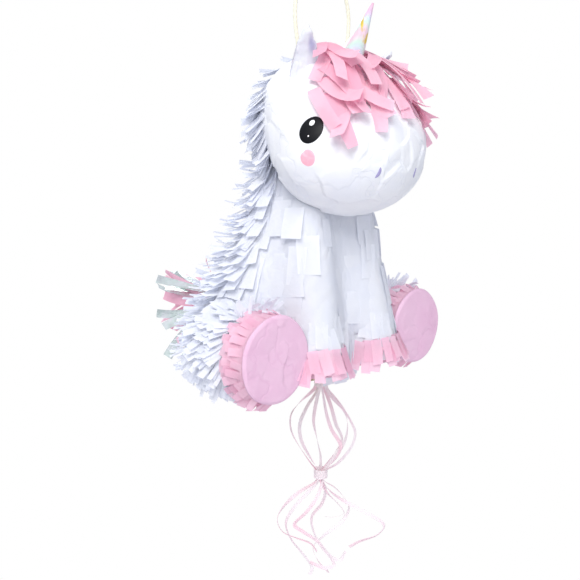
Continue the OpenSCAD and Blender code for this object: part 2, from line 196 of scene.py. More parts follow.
# Paper glued down smooth, with creases and the edges of the sheets showing. The edges are raised by bump, and
# along them and in noise patches the colour is darkened towards the painted shade colour.
def pasted(name, look, crease=0.5, sheet=20):
    s = Shader(name)
    s.set(Roughness=0.62)
    s.body.inputs["Specular IOR Level"].default_value = 0.3
    cells = s.add("ShaderNodeTexVoronoi", feature="DISTANCE_TO_EDGE")
    cells.inputs["Scale"].default_value = sheet
    warp = s.add("ShaderNodeMix", data_type="VECTOR")
    warp.inputs[0].default_value = 0.06
    wobble = s.add("ShaderNodeTexNoise")
    wobble.inputs["Scale"].default_value = 40
    s.link(s.coords(), wobble.inputs["Vector"])
    s.link(s.coords(), warp.inputs[4])
    s.link(wobble.outputs["Color"], warp.inputs[5])
    s.link(warp.outputs[1], cells.inputs["Vector"])
    edge = s.ramp(cells.outputs["Distance"], [(0.0, (0, 0, 0)), (0.035, (1, 1, 1))])
    lining = s.attribute("lining")
    patch = s.ramp(s.noise(30, 2), [(0.4, (0, 0, 0)), (0.7, (0.4, 0.4, 0.4))])
    base = s.mix(patch, look["light"], look["shade"])
    # Painted shade: darker along the sheet edges.
    base = s.mix(s.ramp(edge, [(0.0, (0.35, 0.35, 0.35)), (1.0, (0, 0, 0))]), base, look["shade"])
    # The lining value lays dark blue in the ear's hollow: partly the inner ear's colour, partly painted
    # shade, as it is kept to the top and one side of the fold.
    base = s.mix(lining, base, (0.17, 0.16, 0.44))
    s.link(base, s.body.inputs["Base Color"])
    s.bump(edge, crease, 0.0005)
    s.bump(s.noise(180, 4, 0.6), 0.45, 0.0007)
    s.bump(s.noise(1400, 3, 0.6), 0.25, 0.0002)
    s.thin(0.1, look["through"])
    return s.material


def cardboard():
    s = Shader("greyboard")
    s.set(Roughness=0.85)
    grain = s.noise(700, 6, 0.7, (1, 1, 0.2))
    base = s.ramp(grain, [(0.3, (0.36, 0.27, 0.18)), (0.5, (0.52, 0.41, 0.29)), (0.75, (0.62, 0.51, 0.38))])
    s.link(base, s.body.inputs["Base Color"])
    s.bump(grain, 0.4, 0.0004)
    return s.material


def wood():
    s = Shader("dowelWood")
    s.set(Roughness=0.6)
    grain = s.noise(500, 4, 0.6, (0.1, 1, 1))
    s.link(s.ramp(grain, [(0.3, (0.55, 0.38, 0.2)), (0.7, (0.75, 0.58, 0.36))]), s.body.inputs["Base Color"])
    s.bump(grain, 0.3, 0.0002)
    return s.material


# Pearly film: pink turning lilac and mint round the cone, with gold flecks.
def hornFilm():
    s = Shader("hornFilm")
    s.set(Roughness=0.28, Metallic=0.25)
    wave = s.add("ShaderNodeTexWave", wave_type="BANDS", bands_direction="DIAGONAL")
    wave.inputs["Scale"].default_value = 11
    wave.inputs["Distortion"].default_value = 3.5
    wave.inputs["Detail"].default_value = 2
    s.link(s.coords(), wave.inputs["Vector"])
    pearl = s.ramp(wave.outputs["Fac"], [(0.0, (0.86, 0.55, 0.68)), (0.35, (0.80, 0.66, 0.86)),
        (0.6, (0.72, 0.88, 0.92)), (0.8, (0.70, 0.92, 0.80)), (1.0, (0.90, 0.68, 0.78))])
    gold = s.ramp(s.noise(95, 2, 0.4, (1, 1, 0.45)), [(0.60, (0, 0, 0)), (0.64, (1, 1, 1))])
    s.link(s.mix(gold, pearl, (0.80, 0.60, 0.10)), s.body.inputs["Base Color"])
    s.bump(s.noise(160, 2, 0.4), 0.5, 0.001)
    return s.material


def foilFilm():
    s = Shader("silverFoil")
    s.set(Roughness=0.22, Metallic=0.9)
    hue = s.ramp(s.noise(60, 2), [(0.35, (0.62, 0.66, 0.66)), (0.52, (0.70, 0.80, 0.76)),
        (0.7, (0.82, 0.84, 0.86))])
    s.link(hue, s.body.inputs["Base Color"])
    s.bump(s.noise(300, 4, 0.6), 0.8, 0.0012)
    return s.material


# Black with a large and a small white highlight, placed by the sticker's own UV.
def eyePrint():
    s = Shader("eyePrint")
    s.set(Roughness=0.42)
    s.body.inputs["Specular IOR Level"].default_value = 0.2
    uv = s.add("ShaderNodeUVMap", uv_map="sticker")

    def spot(u, v, radius):
        far = s.add("ShaderNodeVectorMath", operation="DISTANCE")
        s.link(uv.outputs["UV"], far.inputs[0])
        far.inputs[1].default_value = (u, v, 0)
        inside = s.add("ShaderNodeMath", operation="LESS_THAN")
        s.link(far.outputs["Value"], inside.inputs[0])
        inside.inputs[1].default_value = radius
        return inside.outputs["Value"]

    both = s.add("ShaderNodeMath", operation="MAXIMUM")
    s.link(spot(0.40, 0.71, 0.105), both.inputs[0])
    s.link(spot(0.55, 0.27, 0.028), both.inputs[1])
    s.link(s.mix(both.outputs["Value"], (0.004, 0.004, 0.006), (1.0, 1.0, 1.0)), s.body.inputs["Base Color"])
    s.bump(s.noise(700, 3), 0.1, 0.0002)
    return s.material


def ink(name, colour, edge):
    s = Shader(name)
    s.set(Roughness=0.6)
    s.link(s.mix(s.ramp(s.noise(300, 3), [(0.4, (0, 0, 0)), (0.7, (0.5, 0.5, 0.5))]), colour, edge),
        s.body.inputs["Base Color"])
    s.bump(s.noise(900, 3), 0.2, 0.0002)
    return s.material


def cotton():
    s = Shader("cottonCord")
    s.set(Roughness=0.85)
    fibre = s.noise(1500, 4, 0.6, (1, 1, 0.3))
    s.link(s.ramp(fibre, [(0.3, (0.80, 0.78, 0.58)), (0.6, (0.93, 0.92, 0.78))]), s.body.inputs["Base Color"])
    s.bump(fibre, 0.4, 0.0003)
    s.thin(0.1, (1.0, 0.98, 0.85))
    return s.material


def ribbonFilm():
    s = Shader("ribbonFilm")
    s.set(Roughness=0.5)
    s.body.inputs["Specular IOR Level"].default_value = 0.35
    s.link(s.mix(s.attribute("toneAndShade"), (1.0, 0.955, 0.965), (0.98, 0.70, 0.78)), s.body.inputs["Base Color"])
    s.bump(s.noise(120, 2, 0.4, (1, 1, 0.2)), 0.15, 0.0002)
    s.thin(0.45, (1.0, 0.93, 0.95))
    return s.material


look = {
    "whiteTissue": tissue("whiteTissue", paperLook["white"]),
    "pinkTissue": tissue("pinkTissue", paperLook["pink"]),
    "palePinkTissue": tissue("palePinkTissue", paperLook["palePink"]),
    "whitePasted": pasted("whitePasted", paperLook["white"]),
    "earPasted": pasted("earPasted", paperLook["ear"]),
    "rosePasted": pasted("rosePasted", paperLook["rose"], 0.5, 9),
    "card": cardboard(), "wood": wood(), "horn": hornFilm(), "foil": foilFilm(), "eye": eyePrint(),
    "cheek": ink("cheekInk", (0.95, 0.42, 0.52), (0.98, 0.55, 0.62)),
    "nostril": ink("nostrilInk", (0.34, 0.31, 0.55), (0.52, 0.48, 0.70)),
    "cord": cotton(), "ribbon": ribbonFilm(),
}
print("materials", len(look))

# The shapes that the paper lies on. Lengths are in millimetres.
trunk = {"hipR": 117.0, "neckR": 61.0, "hipZ": 20.0, "neckZ": 202.0, "crown": 80.0, "flat": 0.8,
    "lean": 0.18, "rootY": 63.0, "edge": 12.0}
head = {"cranium": (np.array([0, -12, 285.0]), np.array([78.0, 75.0, 68.0])),
    "muzzle": (np.array([0, -40, 250.0]), np.array([90.0, 72.0, 68.0])),
    "middle": np.array([0, -28, 264.0]), "blend": 20.0, "faceEdge": (3.0, 240.0, 7.0)}
hindLeg = {"x": 116.0, "z": 44.0, "r": 41.0, "front": -50.0, "back": 15.0}
frontLeg = {"foot": np.array([48, -36, 14.0]), "top": np.array([38, -12, 178.0]), "footR": 31.0, "topR": 21.0}


def trunkRadius(z):
    t = trunk
    z = np.asarray(z, float)
    low = t["hipR"] - t["edge"] + t["edge"] * np.sqrt(np.clip(1 - ((t["hipZ"] - z) / 17) ** 2, 0, 1))
    part = np.clip((z - t["hipZ"]) / (t["neckZ"] - t["hipZ"]), 0, 1)
    side = t["neckR"] + (t["hipR"] - t["neckR"]) * np.cos(np.pi / 2 * part) ** 1.5
    top = t["neckR"] * np.sqrt(np.clip(1 - ((z - t["neckZ"]) / t["crown"]) ** 2, 0, 1))
    return np.where(z < t["hipZ"], low, np.where(z > t["neckZ"], top, side))


def trunkPoint(angle, z, off):
    r = trunkRadius(z) + off
    return np.stack([r * np.cos(angle),
        trunk["rootY"] - trunk["lean"] * z + trunk["flat"] * r * np.sin(angle),
        z + 0 * angle], -1)


def trunkDistance(p):
    y = (p[:, 1] - trunk["rootY"] + trunk["lean"] * p[:, 2]) / trunk["flat"]
    d = (np.hypot(p[:, 0], y) - trunkRadius(p[:, 2])) * 0.9
    return np.maximum(d, np.maximum(3 - p[:, 2], p[:, 2] - 282))


def ellipsoid(p, middle, radii):
    q = (p - middle) / radii
    far = np.linalg.norm(q, axis=-1)
    return far * (far - 1) / np.maximum(np.linalg.norm(q / radii, axis=-1), 1e-9)


def headDistance(p):
    a, b, k = ellipsoid(p, *head["cranium"]), ellipsoid(p, *head["muzzle"]), head["blend"]
    h = np.clip(0.5 + 0.5 * (b - a) / k, 0, 1)
    return b * (1 - h) + a * h - k * h * (1 - h) * 0.7


def hindDistance(p, side):
    q = p * np.array([side, 1, 1]) - np.array([hindLeg["x"], 0, hindLeg["z"]])
    y = np.clip(q[:, 1], hindLeg["front"], hindLeg["back"])
    d = np.sqrt(q[:, 0] ** 2 + q[:, 2] ** 2 + (q[:, 1] - y) ** 2) - hindLeg["r"]
    return np.maximum(d, hindLeg["front"] - q[:, 1])


def frontDistance(p, side):
    q = p * np.array([side, 1, 1]) - frontLeg["foot"]
    line = frontLeg["top"] - frontLeg["foot"]
    raw = q @ line / (line @ line)
    t = np.clip(raw, 0, 1)
    r = frontLeg["footR"] + (frontLeg["topR"] - frontLeg["footR"]) * t
    d = np.linalg.norm(q - t[:, None] * line, axis=-1) - r
    return np.maximum(d, -raw * np.linalg.norm(line))


def slope(distance, p, step=0.4):
    out = np.zeros_like(p)
    for i in range(3):
        e = np.zeros(3)
        e[i] = step
        out[:, i] = distance(p + e) - distance(p - e)
    return unit(out)


# Moves points on to the surface at a given offset.
def settle(distance, p, off, along=None):
    for _ in range(8):
        n = slope(distance, p) if along is None else along
        p = p - n * (distance(p) - off)[:, None]
    return p


# How far along a line, between near and far, the surface stands at the given offset.
def reach(distance, place, near, far, off, count, turns=20):
    low, high = np.full(count, near), np.full(count, far)
    for _ in range(turns):
        mid = (low + high) / 2
        inside = distance(place(mid)) < off
        low, high = np.where(inside, mid, low), np.where(inside, high, mid)
    return low


# Sheets pasted on the head: each is nearly flat and a little tilted, so creases show between them.
sheetRandom = np.random.default_rng(12)
sheetSeeds = unit(sheetRandom.normal(size=(105, 3))) * np.array([84, 80, 78]) + head["middle"]
sheetTilt = sheetRandom.normal(size=(105, 3)) * 0.085
sheetLift = sheetRandom.uniform(-0.25, 0.25, 105)


def pastedHeight(p):
    out = np.zeros(len(p))
    for i in range(0, len(p), 4000):
        q = p[i:i + 4000]
        far = np.linalg.norm(q[:, None] - sheetSeeds[None], axis=-1)
        far += 2.5 * np.sin(q[:, :1] * 0.21 + sheetSeeds[None, :, 1] * 0.7)
        near = np.argsort(far, axis=1)[:, :2]
        rows = np.arange(len(q))
        h = [np.clip(sheetLift[near[:, k]] + np.einsum("ij,ij->i", q - sheetSeeds[near[:, k]],
            sheetTilt[near[:, k]]), -1.0, 1.0) for k in (0, 1)]
        gap = far[rows, near[:, 1]] - far[rows, near[:, 0]]
        w = np.clip(0.5 - gap / 3.0, 0, 0.5)
        out[i:i + 4000] = h[0] * (1 - w) + h[1] * w
    return out


def skinDistance(p):
    return headDistance(p) - pastedHeight(p)


def outward(o):
    b = bmesh.new()
    b.from_mesh(o.data)
    bmesh.ops.recalc_face_normals(b, faces=b.faces)
    b.to_mesh(o.data)
    b.free()


def makeMesh(name, points, faces, material, body="pinata", replaces=(), smooth=True,
        attributes=None, uv=None, closed=True):
    mesh = bpy.data.meshes.new(name)
    mesh.from_pydata(toFrame(points).tolist(), [], faces)
    if smooth:
        mesh.polygons.foreach_set("use_smooth", [True] * len(mesh.polygons))
    for key, values in (attributes or {}).items():
        mesh.attributes.new(key, "FLOAT", "POINT").data.foreach_set("value", np.asarray(values, np.float32))
    if uv is not None:
        layer = mesh.uv_layers.new(name=uv[0])
        corner = np.zeros(len(mesh.loops), int)
        mesh.loops.foreach_get("vertex_index", corner)
        layer.data.foreach_set("uv", np.asarray(uv[1], np.float32)[corner].ravel())
    mesh.validate()
    mesh.update()
    o = bpy.data.objects.new(name, mesh)
    bpy.context.scene.collection.objects.link(o)
    if material:
        mesh.materials.append(material)
    if closed:
        outward(o)
    if body:
        finishPiece(o, body, replaces)
    return o


# The paper under a row of strips. makeFringe takes it up into the finished piece. The last argument sets how
# far its colour goes into the painted shade colour.
def makeBacking(name, points, faces, toneAndShade):
    return makeMesh(name, points, faces, None, body=None, attributes={"toneAndShade": np.full(len(points), toneAndShade)})


def finishPiece(o, body, replaces):
    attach(o, body)
    if replaces:
        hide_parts(*replaces)


def grid(rows, columns, closed=False, start=0):
    faces = []
    for i in range(rows - 1):
        for j in range(columns if closed else columns - 1):
            k = (j + 1) % columns
            faces.append((start + i * columns + j, start + i * columns + k,
                start + (i + 1) * columns + k, start + (i + 1) * columns + j))
    return faces


bladeShape = {"across": 2, "along": 5}


# One strip: 1 wide, 1 long and bent by 1, to be scaled when it is placed.
def makeBlade(name, shape, seed):
    r = np.random.default_rng(seed)
    across, along = shape["across"], shape["along"]
    u, v = np.meshgrid(np.linspace(-0.5, 0.5, across + 1), np.linspace(0, 1, along + 1))
    cut, taper = r.uniform(-0.06, 0.06), r.uniform(-0.05, 0.12)
    twist, wave = r.uniform(-0.5, 0.5), r.uniform(-0.10, 0.10)
    x = u * (1 - taper * v) + r.uniform(-0.25, 0.25) * v ** 2
    y = v + cut * u * v
    z = v ** 2 * (1 + r.uniform(-0.3, 0.3)) + twist * u * v ** 1.5 * 0.35 + wave * np.sin(v * 7) + \
        0.10 * (u ** 2 - 0.08) * r.uniform(-1.5, 1.5)
    points = np.stack([x, y, z], -1).reshape(-1, 3)
    mesh = bpy.data.meshes.new(name)
    mesh.from_pydata(points.tolist(), [], grid(along + 1, across + 1))
    mesh.polygons.foreach_set("use_smooth", [True] * len(mesh.polygons))
    o = bpy.data.objects.new(name, mesh)
    bpy.context.scene.collection.objects.link(o)
    return o


shortBlades = [makeBlade(f"shortBlade{i}", bladeShape, 20 + i) for i in range(5)]


# Places one of the blades on each point, turned and scaled by the point's own attributes.
def fringeTree():
    tree = bpy.data.node_groups.new("paperFringe", "GeometryNodeTree")
    face = tree.interface
    face.new_socket("Backing", in_out="INPUT", socket_type="NodeSocketGeometry")
    face.new_socket("Roots", in_out="INPUT", socket_type="NodeSocketObject")
    for i in range(5):
        face.new_socket(f"Blade {i + 1}", in_out="INPUT", socket_type="NodeSocketObject")
    face.new_socket("Paper", in_out="INPUT", socket_type="NodeSocketMaterial")
    face.new_socket("Fringed", in_out="OUTPUT", socket_type="NodeSocketGeometry")
    new, link = tree.nodes.new, tree.links.new
    given, made = new("NodeGroupInput"), new("NodeGroupOutput")
    roots = new("GeometryNodeObjectInfo")
    link(given.outputs["Roots"], roots.inputs["Object"])
    blades = new("GeometryNodeJoinGeometry")
    for i in reversed(range(5)):
        info, one = new("GeometryNodeObjectInfo"), new("GeometryNodeGeometryToInstance")
        link(given.outputs[f"Blade {i + 1}"], info.inputs["Object"])
        link(info.outputs["Geometry"], one.inputs["Geometry"])
        link(one.outputs["Instances"], blades.inputs["Geometry"])

    def named(kind, name):
        n = new("GeometryNodeInputNamedAttribute")
        n.data_type = kind
        n.inputs["Name"].default_value = name
        return n.outputs["Attribute"]

    turn = new("FunctionNodeEulerToRotation")
    link(named("FLOAT_VECTOR", "turn"), turn.inputs["Euler"])
    place = new("GeometryNodeInstanceOnPoints")
    link(roots.outputs["Geometry"], place.inputs["Points"])
    link(blades.outputs["Geometry"], place.inputs["Instance"])
    place.inputs["Pick Instance"].default_value = True
    link(named("INT", "pick"), place.inputs["Instance Index"])
    link(turn.outputs["Rotation"], place.inputs["Rotation"])
    link(named("FLOAT_VECTOR", "size"), place.inputs["Scale"])
    join, real, paint = new("GeometryNodeJoinGeometry"), new("GeometryNodeRealizeInstances"), \
        new("GeometryNodeSetMaterial")
    link(given.outputs["Backing"], join.inputs["Geometry"])
    link(place.outputs["Instances"], join.inputs["Geometry"])
    link(join.outputs["Geometry"], real.inputs["Geometry"])
    link(real.outputs["Geometry"], paint.inputs["Geometry"])
    link(given.outputs["Paper"], paint.inputs["Material"])
    link(paint.outputs["Geometry"], made.inputs["Fringed"])
    return tree


fringe = fringeTree()
socket = {s.name: s.identifier for s in fringe.interface.items_tree if s.item_type == "SOCKET"}


# strips holds roots, the way each points, the way its face looks, and sizes [width, length, bend].
def makeFringe(name, backing, strips, paper, body, replaces):
    points, ahead, up = strips["root"], unit(strips["ahead"]), strips["up"]
    side = unit(np.cross(ahead, up))
    up = np.cross(side, ahead)
    mesh = bpy.data.meshes.new(name + "Roots")
    mesh.from_pydata(toFrame(points).tolist(), [], [])
    turns = [Matrix((s, a, u)).transposed().to_euler() for s, a, u in zip(side, ahead, up)]
    mesh.attributes.new("turn", "FLOAT_VECTOR", "POINT").data.foreach_set(
        "vector", np.array([tuple(t) for t in turns], np.float32).ravel())
    mesh.attributes.new("size", "FLOAT_VECTOR", "POINT").data.foreach_set(
        "vector", (np.asarray(strips["size"]) * 0.001).astype(np.float32).ravel())
    mesh.attributes.new("pick", "INT", "POINT").data.foreach_set("value", strips["pick"].astype(np.int32))
    mesh.attributes.new("toneAndShade", "FLOAT", "POINT").data.foreach_set("value", strips["toneAndShade"].astype(np.float32))
    roots = bpy.data.objects.new(name + "Roots", mesh)
    bpy.context.scene.collection.objects.link(roots)
    modifier = backing.modifiers.new("fringe", "NODES")
    modifier.node_group = fringe
    modifier[socket["Roots"]] = roots
    for i, b in enumerate(shortBlades):
        modifier[socket[f"Blade {i + 1}"]] = b
    modifier[socket["Paper"]] = paper
    bpy.context.view_layer.update()
    graph = bpy.context.evaluated_depsgraph_get()
    done = bpy.data.meshes.new_from_object(backing.evaluated_get(graph), preserve_all_data_layers=True,
        depsgraph=graph)
    done.name = name
    o = bpy.data.objects.new(name, done)
    bpy.context.scene.collection.objects.link(o)
    bpy.data.objects.remove(backing)
    bpy.data.objects.remove(roots)
    finishPiece(o, body, replaces)
    print(name, len(points), "strips", len(done.polygons), "faces")
    return o


# Spreads the given sizes by chance. lift turns each strip off the surface. The last argument sets how much of
# the painted shade colour the strips get, spread by chance.
def strips(root, ahead, up, width, length, bend, seed, jitter=0.12, lift=0.2, toneAndShade=0.35):
    r = np.random.default_rng(seed)
    n = len(root)
    ahead, up = unit(ahead), unit(up)
    side = unit(np.cross(ahead, up))
    angle = r.normal(0, 1, n) * np.broadcast_to(jitter, n)
    ahead = ahead * np.cos(angle)[:, None] + side * np.sin(angle)[:, None]
    rise = np.broadcast_to(lift, n) * r.uniform(0.5, 1.5, n)
    turned = ahead * np.cos(rise)[:, None] + up * np.sin(rise)[:, None]
    up = up * np.cos(rise)[:, None] - ahead * np.sin(rise)[:, None]
    long = np.broadcast_to(length, n) * r.uniform(0.82, 1.14, n)
    size = np.stack([np.broadcast_to(width, n) * r.uniform(0.8, 1.15, n), long,
        long * np.broadcast_to(bend, n) * r.uniform(0.4, 1.5, n)], -1)
    return {"root": root, "ahead": turned, "up": up, "size": size, "pick": r.integers(0, 5, n),
        "toneAndShade": np.clip(r.normal(toneAndShade * 0.5, toneAndShade * 0.5, n), 0, 1)}


def join(*parts):
    return {k: np.concatenate([p[k] for p in parts]) for k in parts[0]}


def keep(s, mask):
    return {k: v[mask] for k, v in s.items()}


# True where a point is not buried in any of the other shapes.
def outside(p, *distances, by=-1.5):
    ok = np.ones(len(p), bool)
    for d in distances:
        ok &= d(p) > by
    return ok


def legs(p):
    return np.minimum.reduce([hindDistance(p, 1), hindDistance(p, -1), frontDistance(p, 1),
        frontDistance(p, -1)])


# The trunk and the front legs run into each other under the paper.
def chestDistance(p):
    d = trunkDistance(p)
    for side in (1, -1):
        b = frontDistance(p, side)
        h = np.clip(0.5 + 0.5 * (b - d) / 26, 0, 1)
        d = b * (1 - h) + d * h - 26 * h * (1 - h) * 0.8
    return d


def smoothStep(x, a, b):
    t = np.clip((x - a) / (b - a), 0, 1)
    return t * t * (3 - 2 * t)


flapWindow = {"half": 33.0, "low": 112.0, "top": 168.0}


def inWindow(p, grow=0.0):
    w = flapWindow
    return (np.abs(p[:, 0]) < w["half"] + grow) & (p[:, 2] > w["low"] - grow) & \
        (p[:, 2] < w["top"] + grow) & (p[:, 1] > 40)


# The paper under the strips, over the trunk or only over the flap.
def trunkBacking(window):
    zs = np.concatenate([[3.2, 5.3, 9], np.linspace(14, 262, 90)])
    if window:
        zs = np.linspace(113.0, 166.6, 24)
    rows, columns = len(zs), 240 if not window else 40
    if window:
        angle = np.pi / 2 + np.linspace(-0.42, 0.42, columns)
    else:
        angle = np.linspace(0, 2 * np.pi, columns, endpoint=False)
    a, z = np.meshgrid(angle, zs)
    shells = []
    for off in (1.0, 0.3):
        p = trunkPoint(a.ravel(), z.ravel(), off)
        if window:
            s = np.linspace(-32, 32, columns)
            p = p.reshape(rows, columns, 3)
            p[..., 0] = s
            y0 = trunk["rootY"] - trunk["lean"] * z
            r = trunkRadius(z) + off
            p[..., 1] = y0 + trunk["flat"] * np.sqrt(r ** 2 - s ** 2)
            p = p.reshape(-1, 3)
        shells.append(p)
    wave = 0.5 * np.sin(shells[0][:, 2] * 0.31 + 2 * np.sin(a.ravel() * 9)) * np.sin(a.ravel() * 23)
    shells[0] = shells[0] + wave[:, None] * slopeOut(a.ravel())
    faces = grid(rows, columns, closed=not window)
    middle = np.array([shells[0][list(f)].mean(0) for f in faces])
    cut = np.zeros(len(faces), bool) if window else inWindow(middle, 0.5)
    faces = [f for f, c in zip(faces, cut) if not c]
    points, n = np.concatenate(shells), rows * columns
    inner = [tuple(n + k for k in reversed(f)) for f in faces]
    edges = {(f[i], f[(i + 1) % 4]): True for f in faces for i in range(4)}
    rim = [(b, a2, n + a2, n + b) for (a2, b) in edges if (b, a2) not in edges]
    return points, faces + inner + rim


def slopeOut(a):
    return np.stack([np.cos(a), np.sin(a), 0 * a], -1)


def trunkStrips(window, seed):
    r = np.random.default_rng(seed)
    roots, heights = [], np.arange(249, 10, -11.5)
    for z in heights:
        n = int(2 * np.pi * trunkRadius(z) * 0.9 / 6.6)
        a = (np.arange(n) + r.uniform(-0.4, 0.4, n)) * 2 * np.pi / n + r.uniform(0, 1)
        roots.append(trunkPoint(a, z + r.normal(0, 1.2, n), 1.2))
    p = np.concatenate(roots)
    n = slope(trunkDistance, p)
    down = np.array([0, 0, -1.0]) - n * (-n[:, 2:3])
    calm = smoothStep(-n[:, 1], -0.35, 0.45)
    # Strips facing the front get less of the painted shade colour; those on the sides and back are painted
    # darker.
    s = strips(p, down, n, 7.2 + 15 * calm, 25 + 9 * calm, 0.22 - 0.20 * calm, seed, 0.30 - 0.25 * calm,
        0.72 - 0.69 * calm, 0.55 - 0.4 * calm)
    s["root"] = s["root"] + n * 0.3
    s["size"][:, 1] = np.minimum(s["size"][:, 1], (p[:, 2] + 3) * 1.05)
    tip = p + down * 22
    if window:
        flap = (np.abs(p[:, 0]) < 31) & (p[:, 2] > 118) & (p[:, 2] < 160) & (p[:, 1] > 40)
        return keep(s, flap)
    over = (np.abs(p[:, 0]) < 44) & (p[:, 2] > 168) & (p[:, 2] < 200) & (p[:, 1] > 40)
    s["size"][over, 1] = np.minimum(s["size"][over, 1], (p[over, 2] - 168) * 0.95)
    s["size"][over, 2] *= 0.4
    crossing = inWindow(p, 2) | (inWindow(tip, 2) & (p[:, 2] < 170))
    clear = outside(p, legs) & outside(p, headDistance, by=1.0) & (calm * r.uniform(0, 1, len(p)) < 0.5)
    chest = (p[:, 2] > 66) & (p[:, 2] < 226) & (n[:, 1] < -0.25)
    nearTail = np.linalg.norm(p - np.array([0, 140, 72]), axis=1) < 24
    return keep(s, clear & ~crossing & ~chest & ~nearTail)


# Where a level ray from the trunk's axis leaves the chest.
def onChest(a, z, off):
    start = np.stack([0 * z, trunk["rootY"] - trunk["lean"] * z, z], -1)
    ray = np.stack([np.cos(a), trunk["flat"] * np.sin(a), 0 * a], -1)
    low = reach(chestDistance, lambda far: start + ray * far[:, None], 20.0, 150.0, off, len(z))
    return start + ray * low[:, None]


# The smooth sheet over chest and shoulders, as a closed shell.
def chestSkin(start):
    rows, columns = 60, 150
    a, z = np.meshgrid(-np.pi / 2 + np.linspace(-1.75, 1.75, columns), np.linspace(48, 224, rows))
    a, z = a.ravel(), z.ravel()
    outer = onChest(a, z, 0.9)
    lift = 0.6 * pastedHeight(outer + np.array([0, 0, 90]))
    outer = outer + slope(chestDistance, outer, 2.0) * lift[:, None]
    edge = smoothStep(np.abs(a + np.pi / 2), 1.5, 1.75) * 5 + smoothStep(z, 205, 224) * 5 + \
        smoothStep(-z, -60, -48) * 3
    n = slope(chestDistance, outer, 2.0)
    outer = outer - n * edge[:, None]
    points = np.concatenate([outer, outer - n * 1.2])
    faces, n = grid(rows, columns), rows * columns
    rim = [i for i in range(columns)] + [i * columns + columns - 1 for i in range(1, rows)] + \
        [n - 1 - i for i in range(1, columns)] + [i * columns for i in range(rows - 2, 0, -1)]
    faces += [tuple(n + k for k in reversed(f)) for f in faces]
    faces += [(b, a2, n + a2, n + b) for a2, b in zip(rim, rim[1:] + rim[:1])]
    return points, [tuple(start + k for k in f) for f in faces]


def chestStrips(seed):
    r = np.random.default_rng(seed)
    roots = []
    for z in np.arange(202, 60, -13.0):
        n = 36
        a = -np.pi / 2 + np.linspace(-1.65, 1.65, n) + r.uniform(-0.04, 0.04, n)
        roots.append(onChest(a, z + r.normal(0, 2.0, n), 1.8))
    p = np.concatenate(roots)
    n = slope(chestDistance, p, 2.0)
    down = np.array([0, 0, -1.0]) + n * n[:, 2:3]
    # The chest strips get little of the painted shade colour.
    s = strips(p, down, n, 24, 34, -0.03, seed, 0.07, 0.02, 0.08)
    s["size"][:, :2] *= r.uniform(0.6, 1.3, (len(p), 2))
    nearHind = np.minimum(hindDistance(p, 1), hindDistance(p, -1)) > 1
    sparse = r.uniform(0, 1, len(p)) < 0.15
    return keep(s, sparse & nearHind & outside(p, headDistance, by=4.0) & (n[:, 1] < 0.15))


def makeTrunk():
    points, faces = trunkBacking(False)
    more, moreFaces = chestSkin(len(points))
    points, faces = np.concatenate([points, more]), faces + moreFaces
    backing = makeBacking("trunkBacking", points, faces, 0.2)
    makeFringe("trunkFringe", backing, join(trunkStrips(False, 3), chestStrips(17)), look["whiteTissue"],
        "pinata",
        ["hem_fringe", "rump_fringe", "hip_fringe", "waist_fringe", "shoulder_fringe", "nape_fringe"])
    points, faces = trunkBacking(True)
    backing = makeBacking("flapBacking", points, faces, 0.2)
    makeFringe("flapFringe", backing, trunkStrips(True, 3), look["whiteTissue"], "flap",
        ["fill_flap_fringe"])


makeTrunk()

def behindFace(p, grow=0.0):
    y, z, lean = head["faceEdge"]
    return p[:, 1] > y + math.tan(math.radians(lean)) * (p[:, 2] - z) + grow


def makeHeadSkin():
    b = bmesh.new()
    bmesh.ops.create_icosphere(b, subdivisions=7, radius=1)
    u = np.array([v.co[:] for v in b.verts])
    faces = [[v.index for v in f.verts] for f in b.faces]
    b.free()
    low = reach(headDistance, lambda far: head["middle"] + u * far[:, None], 20.0, 160.0, 1.5, len(u), 26)
    p = head["middle"] + u * low[:, None]
    p = p + slope(headDistance, p) * pastedHeight(p)[:, None]
    used = trunkDistance(p) > -14
    keepFace = [f for f in faces if used[f[0]] and used[f[1]] and used[f[2]]]
    makeMesh("faceSkin", p, keepFace, look["whitePasted"], "pinata", ["face_paper"],
        closed=False)


def headStrips(seed):
    r = np.random.default_rng(seed)
    roots = []
    for z in np.arange(348, 186, -10.0):
        n = 90
        a = np.linspace(-0.5, np.pi + 0.5, n) + r.uniform(-0.02, 0.02, n)
        ray = np.stack([np.cos(a), np.sin(a), 0 * a], -1)
        start = np.array([0, -20, z]) + np.zeros((n, 3))
        low = reach(headDistance, lambda far: start + ray * far[:, None], 0.0, 140.0, 1.8, n, 22)
        q = start + ray * low[:, None] + np.array([0, 0, 1]) * r.normal(0, 1.5, (n, 1))
        gap = np.linalg.norm(np.diff(q, axis=0), axis=1).sum() / n
        q = q[::max(1, round(6.0 / max(gap, 0.1)))]
        roots.append(q[low[:1].repeat(len(q)) > 5])
    p = np.concatenate(roots)
    p = settle(headDistance, p, 1.8)
    n = slope(headDistance, p)
    down = np.array([0, 0.25, -1.0]) + np.zeros_like(p)
    down = down - n * np.einsum("ij,ij->i", down, n)[:, None]
    calm = smoothStep(p[:, 2], 255, 330)
    # Strips higher on the head get less of the painted shade colour, so the head is painted darker towards
    # its lower part.
    s = strips(p, down, n, 8.5 + 5 * calm, 25, 0.16, seed, 0.35, 0.55 - 0.32 * calm, 0.4 - 0.2 * calm)
    ok = behindFace(p, 3.0) & outside(p, trunkDistance, by=1.0)
    return keep(s, ok)


def makeHead():
    makeHeadSkin()
    s = headStrips(31)
    p = np.array([[0, 10, 300.0], [2, 10, 300], [2, 12, 300], [0, 12, 300]])
    backing = makeBacking("headBacking", p, [(0, 1, 2, 3)], 0.0)
    makeFringe("headFringe", backing, s, look["whiteTissue"], "pinata", ["head_fringe"])


makeHead()


